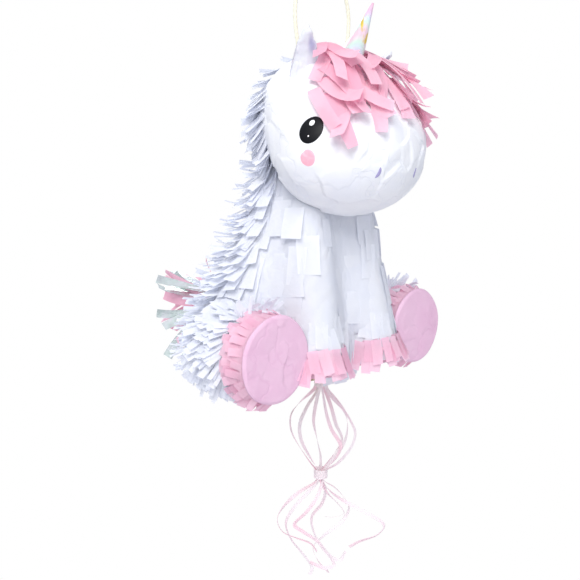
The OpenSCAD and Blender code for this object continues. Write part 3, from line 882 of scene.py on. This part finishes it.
# A point on the head nearest to at, with its normal, and right and up along the surface.
def surfaceFrame(at, tilt=0.0):
    p = settle(headDistance, np.array([at], float), 1.5)[0]
    n = slope(headDistance, p[None])[0]
    up = np.array([0, 0, 1.0]) - n * n[2]
    up = up / np.linalg.norm(up)
    right = np.cross(up, n)
    a = math.radians(tilt)
    return p, n, right * math.cos(a) - up * math.sin(a), up * math.cos(a) + right * math.sin(a)


# A printed shape that follows the pasted surface. bend curves it to one side.
def makeSticker(name, at, width, height, tilt, material, replaces, bend=0.0):
    p, n, right, up = surfaceFrame(at, tilt)
    rings, around = 9, 48
    rho = np.linspace(0, 1, rings)[1:]
    phi = np.linspace(0, 2 * np.pi, around, endpoint=False)
    q, f = np.meshgrid(rho, phi, indexing="ij")
    u, v = q * np.cos(f), q * np.sin(f)
    uv = np.concatenate([[[0.5, 0.5]], np.stack([u, v], -1).reshape(-1, 2) / 2 + 0.5])
    u, v = np.concatenate([[0], u.ravel()]), np.concatenate([[0], v.ravel()])
    flat = p + right * (u * width / 2 + bend * width * (v ** 2))[:, None] + up * (v * height / 2)[:, None]
    top = settle(skinDistance, flat, 2.0, along=n[None])
    edge = np.concatenate([[1], np.sqrt(np.clip(1 - q.ravel() ** 8, 0, 1))])
    low = settle(skinDistance, flat, 1.3, along=n[None])
    top = low + (top - low) * edge[:, None]
    faces = [(0, 1 + j, 1 + (j + 1) % around) for j in range(around)] + grid(rings - 1, around, True, 1)
    count = len(flat)
    faces += [tuple(count + k for k in reversed(f)) for f in faces]
    last = count - around
    faces += [(last + (j + 1) % around, last + j, count + last + j, count + last + (j + 1) % around)
        for j in range(around)]
    if np.dot(np.cross(right, up), n) < 0:
        faces = [tuple(reversed(f)) for f in faces]
    return makeMesh(name, np.concatenate([top, low]), faces, material, "pinata", replaces,
        uv=("sticker", np.concatenate([uv, uv])))


def boxMiddle(node):
    low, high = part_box(node)
    return fromFrame((np.array(low) + np.array(high)) / 2)


def makeFace():
    for side, name in ((-1, "right"), (1, "left")):
        at = boxMiddle("eye_" + name)
        makeSticker("eye" + name.title(), at, 24.5, 30, -side * 24, look["eye"], ["eye_" + name])
        at = np.array([side * 87, -61, 240])
        makeSticker("cheek" + name.title(), at, 15, 17, -side * 8, look["cheek"], ["cheek_stickers"])
        at = np.array([side * 28 - 2, -101, 227])
        makeSticker("nostril" + name.title(), at, 4.0, 12, -side * 18, look["nostril"], ["nostril_marks"],
            bend=side * 0.35)


makeFace()
print("face")

earLook = {"width": 32.0, "thick": 13.0}
earPlace = {-1: {"base": (-57, -27, 311), "tip": (-63, -38, 373), "turn": -38},
    1: {"base": (56, -24, 322), "tip": (72, -38, 361), "turn": 30}}


def makeEar(side):
    place, name = earPlace[side], "right" if side < 0 else "left"
    base, tip = np.array(place["base"], float), np.array(place["tip"], float)
    axis = unit(tip - base)
    a = math.radians(place["turn"])
    across = np.array([math.cos(a), math.sin(a), 0])
    across = unit(across - axis * (across @ axis))
    out = np.cross(across, axis)
    if out[1] > 0:
        out, across = -out, -across
    rows, around = 34, 64
    t = np.linspace(0, 1, rows)
    half = earLook["width"] / 2 * np.clip(1 - t, 0, 1) ** 0.85 * (1 + 0.8 * t)
    thick = earLook["thick"] / 2 * np.clip(1 - t ** 3, 0, 1) ** 0.6
    long = np.linalg.norm(tip - base)
    points, lining = [], []
    for i in range(rows):
        for j in range(around):
            f = 2 * np.pi * j / around
            u, w = math.cos(f), math.sin(f)
            x, z = half[i] * u, thick[i] * w
            fold = 0.0
            if w > 0:
                fold = w ** 0.7 * math.sin(min(1, t[i] * 1.15) * math.pi) ** 0.8 if 0 < t[i] < 0.87 else 0
                z -= fold * thick[i] * 1.55
            p = base + axis * (t[i] * long) + across * x + out * z
            ridge = abs(noise.noise(Vector(p * 0.10 + side * 7))) + 0.6 * abs(noise.noise(Vector(p * 0.22)))
            push = (across * u + out * w) * (ridge * 2.6 - 0.7) * min(1, 4 * (1 - t[i]))
            p = p + push
            points.append(p)
            # Dark blue in the hollow, strongest near the top and on one side: partly the inner ear's colour,
            # partly painted shade.
            lining.append(min(1, fold * 1.2) * (0.12 + 0.88 * smoothStep(np.array(t[i]), 0.45, 0.75)) *
                (0.12 + 0.88 * smoothStep(np.array(u * side * -1), 0.0, 0.6)))
    faces = grid(rows, around, True)
    points.append(base + axis * (long * 1.01))
    points.append(base)
    lining += [0, 0]
    n = rows * around
    faces += [(n - around + j, n - around + (j + 1) % around, n) for j in range(around)]
    faces += [((j + 1) % around, j, n + 1) for j in range(around)]
    makeMesh("ear" + name.title(), np.array(points), faces, look["earPasted"], "pinata",
        ["ear_" + name, "ear_lining_" + name], attributes={"lining": lining})


makeEar(-1)
makeEar(1)


# Lays each strip out step by step: it falls, curls and rests on the surface under it.
def drape(name, strip, seed, material, replaces, over=None, fall=0.5, curl=1.0):
    r = np.random.default_rng(seed)
    root, n, steps = strip["root"], len(strip["root"]), 14
    p, d = root.copy(), unit(strip["ahead"])
    face = slope(over, p) if over else strip["face"]
    s = unit(np.cross(d, face))
    step = (strip["length"] * r.uniform(0.85, 1.15, n) / steps)[:, None]
    width = (strip["width"] * r.uniform(0.85, 1.1, n))[:, None]
    bendSide, bendOut, twist = r.normal(0, 0.009, (n, 1)) * curl, r.normal(0.006, 0.014, (n, 1)) * curl, \
        r.normal(0, 0.018, (n, 1)) * curl
    slant, cup = r.uniform(-0.18, 0.18, (n, 1)), r.uniform(-0.10, 0.10, (n, 1))
    rings = []
    for k in range(steps + 1):
        v = k / steps
        up = np.cross(s, d)
        for u in (-1, -0.33, 0.33, 1):
            end = d * slant * width * u * 0.5 * (v > 0.99)
            rings.append(p + s * width * u / 2 + up * cup * width * (1 - u * u) + end)
        d = unit(d + (s * bendSide + up * bendOut * v) * step + np.array([0, 0, -1.0]) * fall * step / 50)
        p = p + d * step
        if over:
            out = slope(over, p)
            gap = over(p)[:, None] - strip["lift"][:, None]
            p = p - out * np.minimum(gap, 0)
            d = unit(d - out * np.where(gap < 0, np.minimum(np.sum(d * out, 1, keepdims=True), 0), 0))
        s = unit(s - d * np.sum(s * d, 1, keepdims=True))
        turn = twist * step * v
        s = s * np.cos(turn) + np.cross(d, s) * np.sin(turn)
    points = np.stack(rings, 1).reshape(-1, 3)
    each = (steps + 1) * 4
    faces = []
    for i in range(n):
        faces += grid(steps + 1, 4, start=i * each)
    # Each draped strip gets a random share of the painted shade colour.
    toneAndShade = np.clip(r.normal(0.15, 0.25, n), 0, 1).repeat(each)
    makeMesh(name, points, faces, material, "pinata", replaces, attributes={"toneAndShade": toneAndShade}, closed=False)
    print(name, n, "strips")


# rows of [y, from x, to x, strips, length], from the crown down to the brow
forelock = {"width": 14.5, "rows": [(-12, -20, 40, 6, 70), (-28, -30, 48, 8, 74), (-45, -47, 54, 9, 74),
    (-50, -66, -57, 2, 56), (-61, -57, 54, 11, 66), (-76, -50, 46, 8, 56)]}


# The height of the head's upper surface at x, y.
def onTop(x, y, off):
    low = reach(headDistance, lambda z: np.stack([x, y, z], -1), 262.0, 380.0, off, len(x))
    return np.stack([x, y, low], -1)


def makeForelock():
    r = np.random.default_rng(5)
    x, y, aside, length, lift = [], [], [], [], []
    for row, (across, x0, x1, count, long) in enumerate(forelock["rows"]):
        for place in np.linspace(x0, x1, count):
            if abs(place) < 17 and across > -50:
                place = math.copysign(19, place)
            x.append(place + r.normal(0, 2.5))
            y.append(across + r.normal(0, 3))
            aside.append((place - 5) / 85 + math.copysign(0.5, place) * (across > -40) * (abs(place) < 30))
            length.append(long)
            lift.append(r.uniform(1.8, 5.0) + 1.4 * (5 - row))
    p = onTop(np.array(x), np.array(y), 3.0)
    n = slope(headDistance, p)
    d = np.stack([np.array(aside) + r.normal(0, 0.25, len(x)), np.full(len(x), -1.0),
        np.full(len(x), -0.3)], -1)
    d = d - n * np.sum(d * n, 1, keepdims=True) + n * 0.2
    strip = {"root": p, "ahead": d, "length": np.array(length, float), "width": forelock["width"],
        "lift": np.array(lift)}
    drape("forelockStrips", strip, 6, look["pinkTissue"], ["forelock"], headDistance, 0.7)


makeForelock()

tail = {"root": (0, 156, 66), "pink": {"count": 46, "length": 108.0, "width": 12.5},
    "foil": {"count": 34, "length": 103.0, "width": 12.0}}


def makeTail(name, kind, material, node, seed):
    r = np.random.default_rng(seed)
    n = tail[kind]["count"]
    up, aside = np.radians(r.uniform(-54, 18, n)), np.radians(r.uniform(-46, 46, n))
    d = np.stack([np.sin(aside) * np.cos(up), np.cos(aside) * np.cos(up), np.sin(up)], -1)
    roll = r.uniform(-1.0, 1.0, n)
    face = np.stack([np.cos(roll), 0 * roll, np.sin(roll)], -1)
    root = np.array(tail["root"], float) + r.normal(0, 3, (n, 3))
    strip = {"root": root, "ahead": d, "face": face, "length": np.full(n, tail[kind]["length"]),
        "width": tail[kind]["width"]}
    drape(name, strip, seed + 1, material, [node], None, 0.10, 0.55)


makeTail("tailPink", "pink", look["pinkTissue"], "tail_pink_strips", 10)
makeTail("tailFoil", "foil", look["foil"], "tail_foil_strips", 14)


# A point round a hind leg: f is 0 at the outer side and turns over the top.
def hindFrame(side, f, y, r):
    return np.stack([side * (hindLeg["x"] + r * np.cos(f)), y + 0 * f, hindLeg["z"] + r * np.sin(f)], -1)


def makeHindLeg(side):
    name = "right" if side < 0 else "left"
    r = np.random.default_rng(80 + side)
    around = 96
    f = np.linspace(0, 2 * np.pi, around, endpoint=False)
    ys = np.concatenate([np.linspace(-46.5, 15, 26), 15 + 42 * np.sin(np.linspace(0.1, 1.45, 12))])
    rs = np.concatenate([np.full(26, 42.4), 42.4 * np.cos(np.linspace(0.1, 1.45, 12))])
    points = np.concatenate([hindFrame(side, f, y, q + 0.5 * np.sin(f * 11 + y * 0.2))
        for y, q in zip(ys, rs)])
    faces = grid(len(ys), around, True)
    n = len(points)
    points = np.concatenate([points, [[side * hindLeg["x"], 57.4, hindLeg["z"]]],
        [[side * hindLeg["x"], -46.5, hindLeg["z"]]]])
    faces += [(n - around + j, n - around + (j + 1) % around, n) for j in range(around)]
    faces += [((j + 1) % around, j, n + 1) for j in range(around)]
    if side > 0:
        faces = [tuple(reversed(q)) for q in faces]
    ws, ps = [], []
    for y in np.arange(-15, 50, 9.5):
        rad = 43 if y < 15 else 43 * math.cos(math.asin(min(1, (y - 15) / 43)))
        count = max(8, int(2 * np.pi * rad / 5.6))
        g = np.arange(count) * 2 * np.pi / count + r.uniform(-0.1, 0.1, count)
        ws.append(hindFrame(side, g, y + r.normal(0, 1.5, count), rad))
    p = np.concatenate(ws)
    nrm = slope(lambda q: hindDistance(q, side), p)
    d = np.array([0, 0.35, -1.0]) + np.zeros_like(p)
    d = d - nrm * np.einsum("ij,ij->i", d, nrm)[:, None]
    flat = np.linalg.norm(d, axis=1)
    d = np.where(flat[:, None] < 0.35, np.array([0, 1.0, -0.2]), d)
    calm = smoothStep(nrm[:, 2], 0.1, 0.8)
    # The hind leg strips get more of the painted shade colour than the front leg strips.
    s = strips(p, d, nrm, 7.2 + 4 * calm, 20, 0.14, 90 + side, 0.25, 0.36 - 0.16 * calm, 0.4)
    low = nrm[:, 2] < -0.55
    s["size"][low] *= 0.75
    s = keep(s, outside(p, trunkDistance, lambda q: frontDistance(q, side), by=-3))
    g = np.radians(r.uniform(50, 125, 16))
    p = hindFrame(side, g, r.uniform(-24, -10, 16), 44.5)
    nrm = slope(lambda q: hindDistance(q, side), p)
    tuft = strips(p, nrm + r.normal(0, 0.45, (16, 3)), np.array([0, -1.0, 0.2]) + 0 * p, 4.5, 17, 0.2,
        98 + side)
    s = join(s, tuft)
    backing = makeBacking("hindBacking", points, faces, 0.2)
    makeFringe("hindLegFringe" + name.title(), backing, s, look["whiteTissue"], "pinata",
        ["hind_leg_fringe_" + name])
    for k, y in enumerate((-44, -37, -30)):
        count = 34 + 3 * k
        g = np.arange(count) * 2 * np.pi / count + r.uniform(-0.06, 0.06, count)
        ps.append(hindFrame(side, g, y + r.normal(0, 1.0, count), 43.4))
    p = np.concatenate(ps)
    nrm = slope(lambda q: hindDistance(q, side), p)
    d = np.array([0, 1.0, 0]) + nrm * np.array([0, 0, -0.2])
    s = strips(p, d, nrm, 8.5, 14, 0.14, 95 + side, 0.25, 0.24, 0.5)
    under = (nrm[:, 2] < -0.35)
    s["ahead"][under] = unit(np.array([0.0, 1.0, -0.5]) + r.normal(0, 0.2, (under.sum(), 3)))
    ring = np.concatenate([hindFrame(side, f, y, 43.6) for y in (-47, -38, -21)])
    ring2 = np.concatenate([hindFrame(side, f, y, 42.6) for y in (-21, -38, -47)])
    band = grid(6, around, True)
    close = [(5 * around + j, 5 * around + (j + 1) % around, (j + 1) % around, j) for j in range(around)]
    band = band + close
    if side > 0:
        band = [tuple(reversed(q)) for q in band]
    allPoints = np.concatenate([ring, ring2])
    backing = makeBacking("hoofBacking", allPoints, band, 0.5)
    makeFringe("hindHoofFringe" + name.title(), backing, s, look["palePinkTissue"], "pinata",
        ["hind_hoof_fringe_" + name])
    makeSole(side, name)


# The pasted pink disc, with creases that meet near its middle.
def makeSole(side, name):
    r = np.random.default_rng(40 + side)
    rings, around = 40, 96
    seeds = r.uniform(-44, 44, (22, 2))
    tilt = r.normal(0, 0.035, (22, 2))
    rho = np.linspace(0, 1, rings)[1:]
    f = np.linspace(0, 2 * np.pi, around, endpoint=False)
    q, g = np.meshgrid(rho, f, indexing="ij")
    x, z = (44.3 * q * np.cos(g)).ravel(), (44.3 * q * np.sin(g)).ravel()
    x, z = np.concatenate([[0], x]), np.concatenate([[0], z])
    plane = np.stack([x, z], -1)
    far = np.linalg.norm(plane[:, None] - seeds[None], axis=-1)
    near = np.argsort(far, 1)[:, :2]
    rows = np.arange(len(x))
    h = [np.einsum("ij,ij->i", plane - seeds[near[:, k]], tilt[near[:, k]]) for k in (0, 1)]
    w = np.clip(0.5 - (far[rows, near[:, 1]] - far[rows, near[:, 0]]) / 2.6, 0, 0.5)
    height = np.clip(h[0] * (1 - w) + h[1] * w, -0.8, 0.8)
    rad = np.hypot(x, z) / 44.3
    rim = 2.6 * np.sqrt(np.clip(1 - rad ** 14, 0, 1)) + 0.4 * np.exp(-((rad - 0.93) / 0.03) ** 2)
    wobble = 1 + 0.008 * np.sin(5 * np.arctan2(z, x) + side)
    y = -47.4 - rim - height * (1 - rad ** 6)
    top = np.stack([side * (hindLeg["x"] + x * wobble), y, hindLeg["z"] + z * wobble], -1)
    low = top.copy()
    low[:, 1] = -46.6
    faces = [(0, 1 + j, 1 + (j + 1) % around) for j in range(around)] + grid(rings - 1, around, True, 1)
    n = len(top)
    faces += [tuple(n + k for k in reversed(q)) for q in faces]
    last = n - around
    faces += [(last + (j + 1) % around, last + j, n + last + j, n + last + (j + 1) % around)
        for j in range(around)]
    if side < 0:
        faces = [tuple(reversed(q)) for q in faces]
    makeMesh("hindSole" + name.title(), np.concatenate([top, low]), faces, look["rosePasted"], "pinata",
        ["hind_sole_" + name])


makeHindLeg(-1)
makeHindLeg(1)

def makeFrontLeg(side):
    name = "right" if side < 0 else "left"
    r = np.random.default_rng(120 + side)
    line = frontLeg["top"] - frontLeg["foot"]
    long = np.linalg.norm(line)
    axis = line / long
    e1 = unit(np.cross(axis, np.array([0, 1.0, 0])))
    e2 = np.cross(axis, e1)
    mirror = np.array([side, 1, 1])

    def at(f, t, off):
        rad = frontLeg["footR"] + (frontLeg["topR"] - frontLeg["footR"]) * t + off
        p = frontLeg["foot"] + axis * (t * long)[:, None] + e1 * (rad * np.cos(f))[:, None] + \
            e2 * (rad * np.sin(f))[:, None]
        return p * mirror

    around = 72
    f = np.linspace(0, 2 * np.pi, around, endpoint=False)
    ts = np.linspace(0.012, 1.0, 60)
    points = np.concatenate([at(f, np.full(around, t), 1.0 + 0.6 * np.sin(f * 7 + t * 24) * np.sin(t * 31))
        for t in ts])
    dome = np.radians([25, 45, 65, 80])
    spokes = e1 * np.cos(f)[:, None] + e2 * np.sin(f)[:, None]
    points = np.concatenate([points] + [(frontLeg["top"] + axis * 15 * math.sin(a) +
        spokes * (frontLeg["topR"] + 1) * math.cos(a)) * mirror for a in dome])
    faces = grid(len(ts) + len(dome), around, True)
    n = len(points)
    points = np.concatenate([points, [frontLeg["foot"] * mirror + np.array([0, 0, 2.0])],
        [(frontLeg["top"] + axis * 15) * mirror]])
    faces += [((j + 1) % around, j, n) for j in range(around)]
    faces += [(n - around + j, n - around + (j + 1) % around, n + 1) for j in range(around)]
    if side < 0:
        faces = [tuple(reversed(q)) for q in faces]
    rows = []
    for t in np.arange(0.36, 0.13, -0.06):
        rad = frontLeg["footR"] + (frontLeg["topR"] - frontLeg["footR"]) * t
        count = int(2 * np.pi * rad / 13.0)
        g = np.arange(count) * 2 * np.pi / count + r.uniform(-0.2, 0.2, count)
        rows.append(at(g, np.full(count, t) + r.normal(0, 0.02, count), 0.6))
    p = np.concatenate(rows)
    nrm = slope(lambda q: frontDistance(q, side), p)
    d = np.array([0, 0, -1.0]) + nrm * nrm[:, 2:3]
    # The front leg strips get little of the painted shade colour.
    s = strips(p, d, nrm, 15, 27, 0.0, 130 + side, 0.10, 0.05, 0.1)
    s = keep(s, outside(p, trunkDistance, by=-2) & outside(p, headDistance, by=0))
    backing = makeBacking("frontBacking", points, faces, 0.1)
    makeFringe("frontLegFringe" + name.title(), backing, s, look["whiteTissue"], "pinata",
        ["front_leg_fringe_" + name])
    rows = []
    for t in (0.165, 0.12):
        count = 20
        g = np.arange(count) * 2 * np.pi / count + r.uniform(-0.08, 0.08, count)
        rows.append(at(g, np.full(count, t) + r.normal(0, 0.004, count), 2.8))
    p = np.concatenate(rows)
    nrm = slope(lambda q: frontDistance(q, side), p)
    d = np.array([0, 0, -1.0]) + nrm * nrm[:, 2:3]
    s = strips(p, d, nrm, 12, 26, 0.08, 140 + side, 0.1, 0.12, 0.5)
    s["root"] = s["root"] + nrm * 1.5
    ring = [at(f, np.full(around, t), off) for t, off in ((0.0, 2.2), (0.08, 2.4), (0.165, 1.6), (0.165, 1.0),
        (0.08, 1.2), (0.0, 1.0))]
    band = grid(6, around, True) + [(5 * around + j, 5 * around + (j + 1) % around, (j + 1) % around, j)
        for j in range(around)]
    if side < 0:
        band = [tuple(reversed(q)) for q in band]
    ring = np.concatenate(ring)
    backing = makeBacking("frontHoofBacking", ring, band, 0.4)
    makeFringe("frontHoofFringe" + name.title(), backing, s, look["palePinkTissue"], "pinata",
        ["front_hoof_fringe_" + name])


makeFrontLeg(-1)
makeFrontLeg(1)


# Even points along a smooth line through the given ones.
def spline(points, step):
    p = np.asarray(points, float)
    p = np.concatenate([[2 * p[0] - p[1]], p, [2 * p[-1] - p[-2]]])
    out = []
    for i in range(1, len(p) - 2):
        a, b, c, d = p[i - 1], p[i], p[i + 1], p[i + 2]
        for t in np.linspace(0, 1, 24, endpoint=False):
            out.append(0.5 * (2 * b + (c - a) * t + (2 * a - 5 * b + 4 * c - d) * t ** 2 +
                (3 * b - a - 3 * c + d) * t ** 3))
    out.append(p[-2])
    out = np.array(out)
    far = np.concatenate([[0], np.cumsum(np.linalg.norm(np.diff(out, axis=0), axis=1))])
    at = np.linspace(0, far[-1], max(2, int(far[-1] / step) + 1))
    return np.stack([np.interp(at, far, out[:, k]) for k in range(3)], -1), far[-1]


# A closed tube: section is a list of (across, out), and spin turns it along the way.
def sweep(path, section, spin, first):
    ahead = unit(np.gradient(path, axis=0))
    across = np.array(first, float)
    rings, n = [], len(section)
    for i, a in enumerate(ahead):
        across = unit(across - a * (across @ a))
        out = np.cross(a, across)
        c, s = math.cos(spin[i]), math.sin(spin[i])
        w, h = across * c + out * s, out * c - across * s
        rings.append(path[i] + np.outer([q[0] for q in section], w) + np.outer([q[1] for q in section], h))
    points = np.concatenate(rings)
    faces = grid(len(path), n, True)
    faces += [tuple(reversed(range(n))), tuple(range(len(points) - n, len(points)))]
    return points, [tuple(reversed(f)) for f in faces]


cordLook = {"width": 4.2, "route": [(-36, 0, 344), (-36.5, 0, 352), (-38.5, 0, 362), (-41, 0, 374),
    (-42.5, 0, 388),
    (-42, 0, 401), (-39, 0, 413), (-33, 0, 425), (-23, 0, 435.5), (-11, 0, 441.5), (0, 0, 443.1)]}


def makeCord():
    half = cordLook["route"]
    route = half + [(-x, y, z) for x, y, z in reversed(half[:-1])]
    path, length = spline(route, 1.2)
    count = 18
    section = []
    for k in range(count):
        f = 2 * math.pi * k / count
        r = cordLook["width"] / 2 * (0.93 + 0.07 * math.cos(3 * f))
        section.append((r * math.cos(f), r * math.sin(f)))
    spin = np.arange(len(path)) * 1.2 * 2 * math.pi / 16
    points, faces = sweep(path, section, spin, (0, 1, 0))
    o = makeMesh("hangingCord", points, faces, look["cord"], "pinata", ["hanging_cord"])
    return length


# Each ribbon's way down, as (right, depth, height) seen from the camera's side, from the collar to its end.
ribbonWidth = 4.2
ribbonRoutes = [
    [(4, 0, -10), (6, 0, -18), (22, 4, -38), (36, 6, -62), (40, 6, -76), (34, 4, -92), (20, 2, -108),
        (6, 1, -117),
        (3, 0, -128), (12, -2, -141), (30, -6, -152), (52, -8, -163), (73, -6, -178), (66, -4, -192),
        (46, -4, -200),
        (34, -2, -208)],
    [(2, 3, -10), (4, 6, -20), (12, 12, -44), (18, 14, -66), (25, 12, -84), (14, 8, -102), (3, 3, -117),
        (0, 3, -128), (8, 6, -146), (20, 10, -160), (28, 8, -172), (14, 4, -175), (6, 2, -173)],
    [(-4, 0, -10), (-8, 0, -20), (-24, -4, -34), (-34, -6, -48), (-34, -6, -66), (-26, -4, -84),
        (-12, -2, -106),
        (-4, 0, -118), (-6, 0, -130), (-26, -6, -141), (-42, -8, -156), (-50, -8, -172), (-44, -6, -188),
        (-30, -4, -196), (-12, -2, -204), (-4, -2, -214)],
    [(-2, -3, -10), (-5, -8, -20), (-16, -14, -36), (-24, -16, -56), (-22, -14, -76), (-12, -8, -98),
        (-2, -3, -117), (-3, -4, -128), (-18, -10, -142), (-32, -12, -158), (-40, -10, -176), (-34, -8, -196),
        (-22, -4, -214), (-10, -2, -232), (-12, 0, -244)],
    [(0, -4, -10), (2, -8, -22), (6, -14, -44), (12, -16, -62), (22, -14, -80), (18, -10, -96), (4, -4, -117),
        (2, -4, -128), (-4, -10, -144), (-16, -14, -160), (-30, -12, -176), (-20, -10, -186), (-4, -8, -198),
        (8, -6, -214), (16, -6, -228), (4, -6, -232), (-12, -4, -226)],
    [(1, 4, -10), (-2, 8, -24), (-6, 14, -44), (-8, 16, -64), (-4, 14, -84), (0, 8, -102), (0, 4, -117),
        (1, 4, -128), (6, 12, -146), (2, 16, -164), (-10, 14, -180), (-6, 10, -200), (6, 6, -218),
        (22, 4, -228),
        (30, 2, -216)],
    [(3, -2, -10), (10, -6, -24), (26, -10, -42), (30, -12, -60), (26, -10, -80), (14, -6, -100),
        (3, -2, -117),
        (4, -1, -128), (16, 4, -138), (26, 8, -150), (34, 10, -166), (24, 8, -184), (6, 4, -196),
        (-8, 0, -210),
        (-2, -2, -226), (10, -2, -240)]]


def makeRibbons():
    lengths = []
    right, deep = np.array([0.695, -0.719, 0]), np.array([0.719, 0.695, 0])
    tones = [0.35, 0.45, 0.7, 0.05, 0.5, 0.0, 0.1]
    for i, route in enumerate(ribbonRoutes):
        r = np.random.default_rng(200 + i)
        path, length = spline([right * u + deep * d + np.array([0, 0, h]) for u, d, h in route], 1.5)
        w, t = ribbonWidth / 2, 0.12
        section = [(-w, -t), (0, -t * 1.6), (w, -t), (w, t), (0, t * 1.6), (-w, t)]
        far = np.linspace(0, length, len(path))
        spin = 0.9 * np.sin(far / r.uniform(22, 34) + r.uniform(0, 6))
        spin = spin + far * r.choice([-1, 1]) * r.uniform(0.012, 0.022)
        points, faces = sweep(path, section, spin, right)
        shade = np.clip(tones[i] + 0.35 * np.sin(far / 19 + i), 0, 1).repeat(len(section))
        node = f"ribbon_{i + 1}"
        o = makeMesh(f"ribbon{i + 1}", points, faces, look["ribbon"], "pull", [node],
            attributes={"toneAndShade": shade}, smooth=False)
        lengths.append(round(length))
    return lengths


print("cord", round(makeCord()), "mm; ribbons", makeRibbons())

# Looks of the nodes that come over from CAD as they are.
carried = {"body_shell": "card", "base_panel": "card", "head_shell": "card", "neck_collar": "card",
    "hind_leg_right": "card", "hind_leg_left": "card", "front_leg_right": "card", "front_leg_left": "card",
    "tail_stem": "card", "hanger_plate": "card", "fill_flap": "card", "trap_door": "card",
    "toggle_bar": "wood",
    "horn": "horn", "front_sole_right": "rosePasted", "front_sole_left": "rosePasted", "cord_knots": "cord",
    "ribbon_collar": "ribbon", "gather_band": "ribbon"}
for name, kind in carried.items():
    mesh = nodes[name].data
    mesh.materials.clear()
    mesh.materials.append(look[kind])
    mesh.polygons.foreach_set("use_smooth", [True] * len(mesh.polygons))
    if hasattr(mesh, "set_sharp_from_angle"):
        mesh.set_sharp_from_angle(angle=math.radians(35))
for b in shortBlades:
    bpy.data.objects.remove(b)

light = {"ambient": (0.87, 0.905, 1.0), "ambientPower": 0.64, "key": 31.0, "front": 4.0, "back": 14.0}


# The white that the camera sees behind the object lights nothing.
def backdrop(tree, lit, seen, output):
    path, both = tree.nodes.new("ShaderNodeLightPath"), tree.nodes.new("ShaderNodeMixShader")
    tree.links.new(path.outputs["Is Camera Ray"], both.inputs["Fac"])
    tree.links.new(lit, both.inputs[1])
    tree.links.new(seen, both.inputs[2])
    tree.links.new(both.outputs["Shader"], output)


def makeStage():
    mesh = bpy.data.meshes.new("floor")
    half, z = 12.0, -0.76
    mesh.from_pydata([(-half, -half, z), (half, -half, z), (half, half, z), (-half, half, z)], [],
        [(0, 1, 2, 3)])
    floor = bpy.data.objects.new("floor", mesh)
    bpy.context.scene.collection.objects.link(floor)
    floorPaint = Shader("floorWhite")
    floorPaint.set(Roughness=0.9)
    floorPaint.link(floorPaint.ramp(floorPaint.noise(3, 2),
        [(0.3, (0.78, 0.78, 0.80)), (0.7, (0.82, 0.82, 0.84))]),
        floorPaint.body.inputs["Base Color"])
    seen = floorPaint.add("ShaderNodeEmission", Strength=1.0)
    seen.inputs["Color"].default_value = (1, 1, 1, 1)
    backdrop(floorPaint.tree, floorPaint.body.outputs["BSDF"], seen.outputs["Emission"],
        floorPaint.tree.nodes["Material Output"].inputs["Surface"])
    mesh.materials.append(floorPaint.material)
    world = bpy.data.worlds.new("studio")
    world.use_nodes = True
    tree = world.node_tree
    soft, white = tree.nodes["Background"], tree.nodes.new("ShaderNodeBackground")
    soft.inputs["Color"].default_value = (*light["ambient"], 1)
    soft.inputs["Strength"].default_value = light["ambientPower"]
    white.inputs["Color"].default_value = (1, 1, 1, 1)
    backdrop(tree, soft.outputs["Background"], white.outputs["Background"],
        tree.nodes["World Output"].inputs["Surface"])
    bpy.context.scene.world = world
    bpy.context.scene.view_settings.view_transform = "Standard"
    for name, place, power, size, colour in (
            ("key", (-1.25, -0.85, 1.0), light["key"], 1.1, (1.0, 0.985, 0.96)),
            ("front", (-0.1, -1.7, 0.15), light["front"], 1.2, (0.97, 0.985, 1.0)),
            ("back", (0.3, 1.6, 0.7), light["back"], 1.4, (0.95, 0.97, 1.0))):
        data = bpy.data.lights.new(name, "AREA")
        data.energy, data.size, data.color = power, size, colour
        o = bpy.data.objects.new(name, data)
        o.location = place
        o.rotation_euler = (Vector((0, 0, -0.22)) - Vector(place)).to_track_quat("-Z", "Y").to_euler()
        bpy.context.scene.collection.objects.link(o)


makeStage()
print("stage")
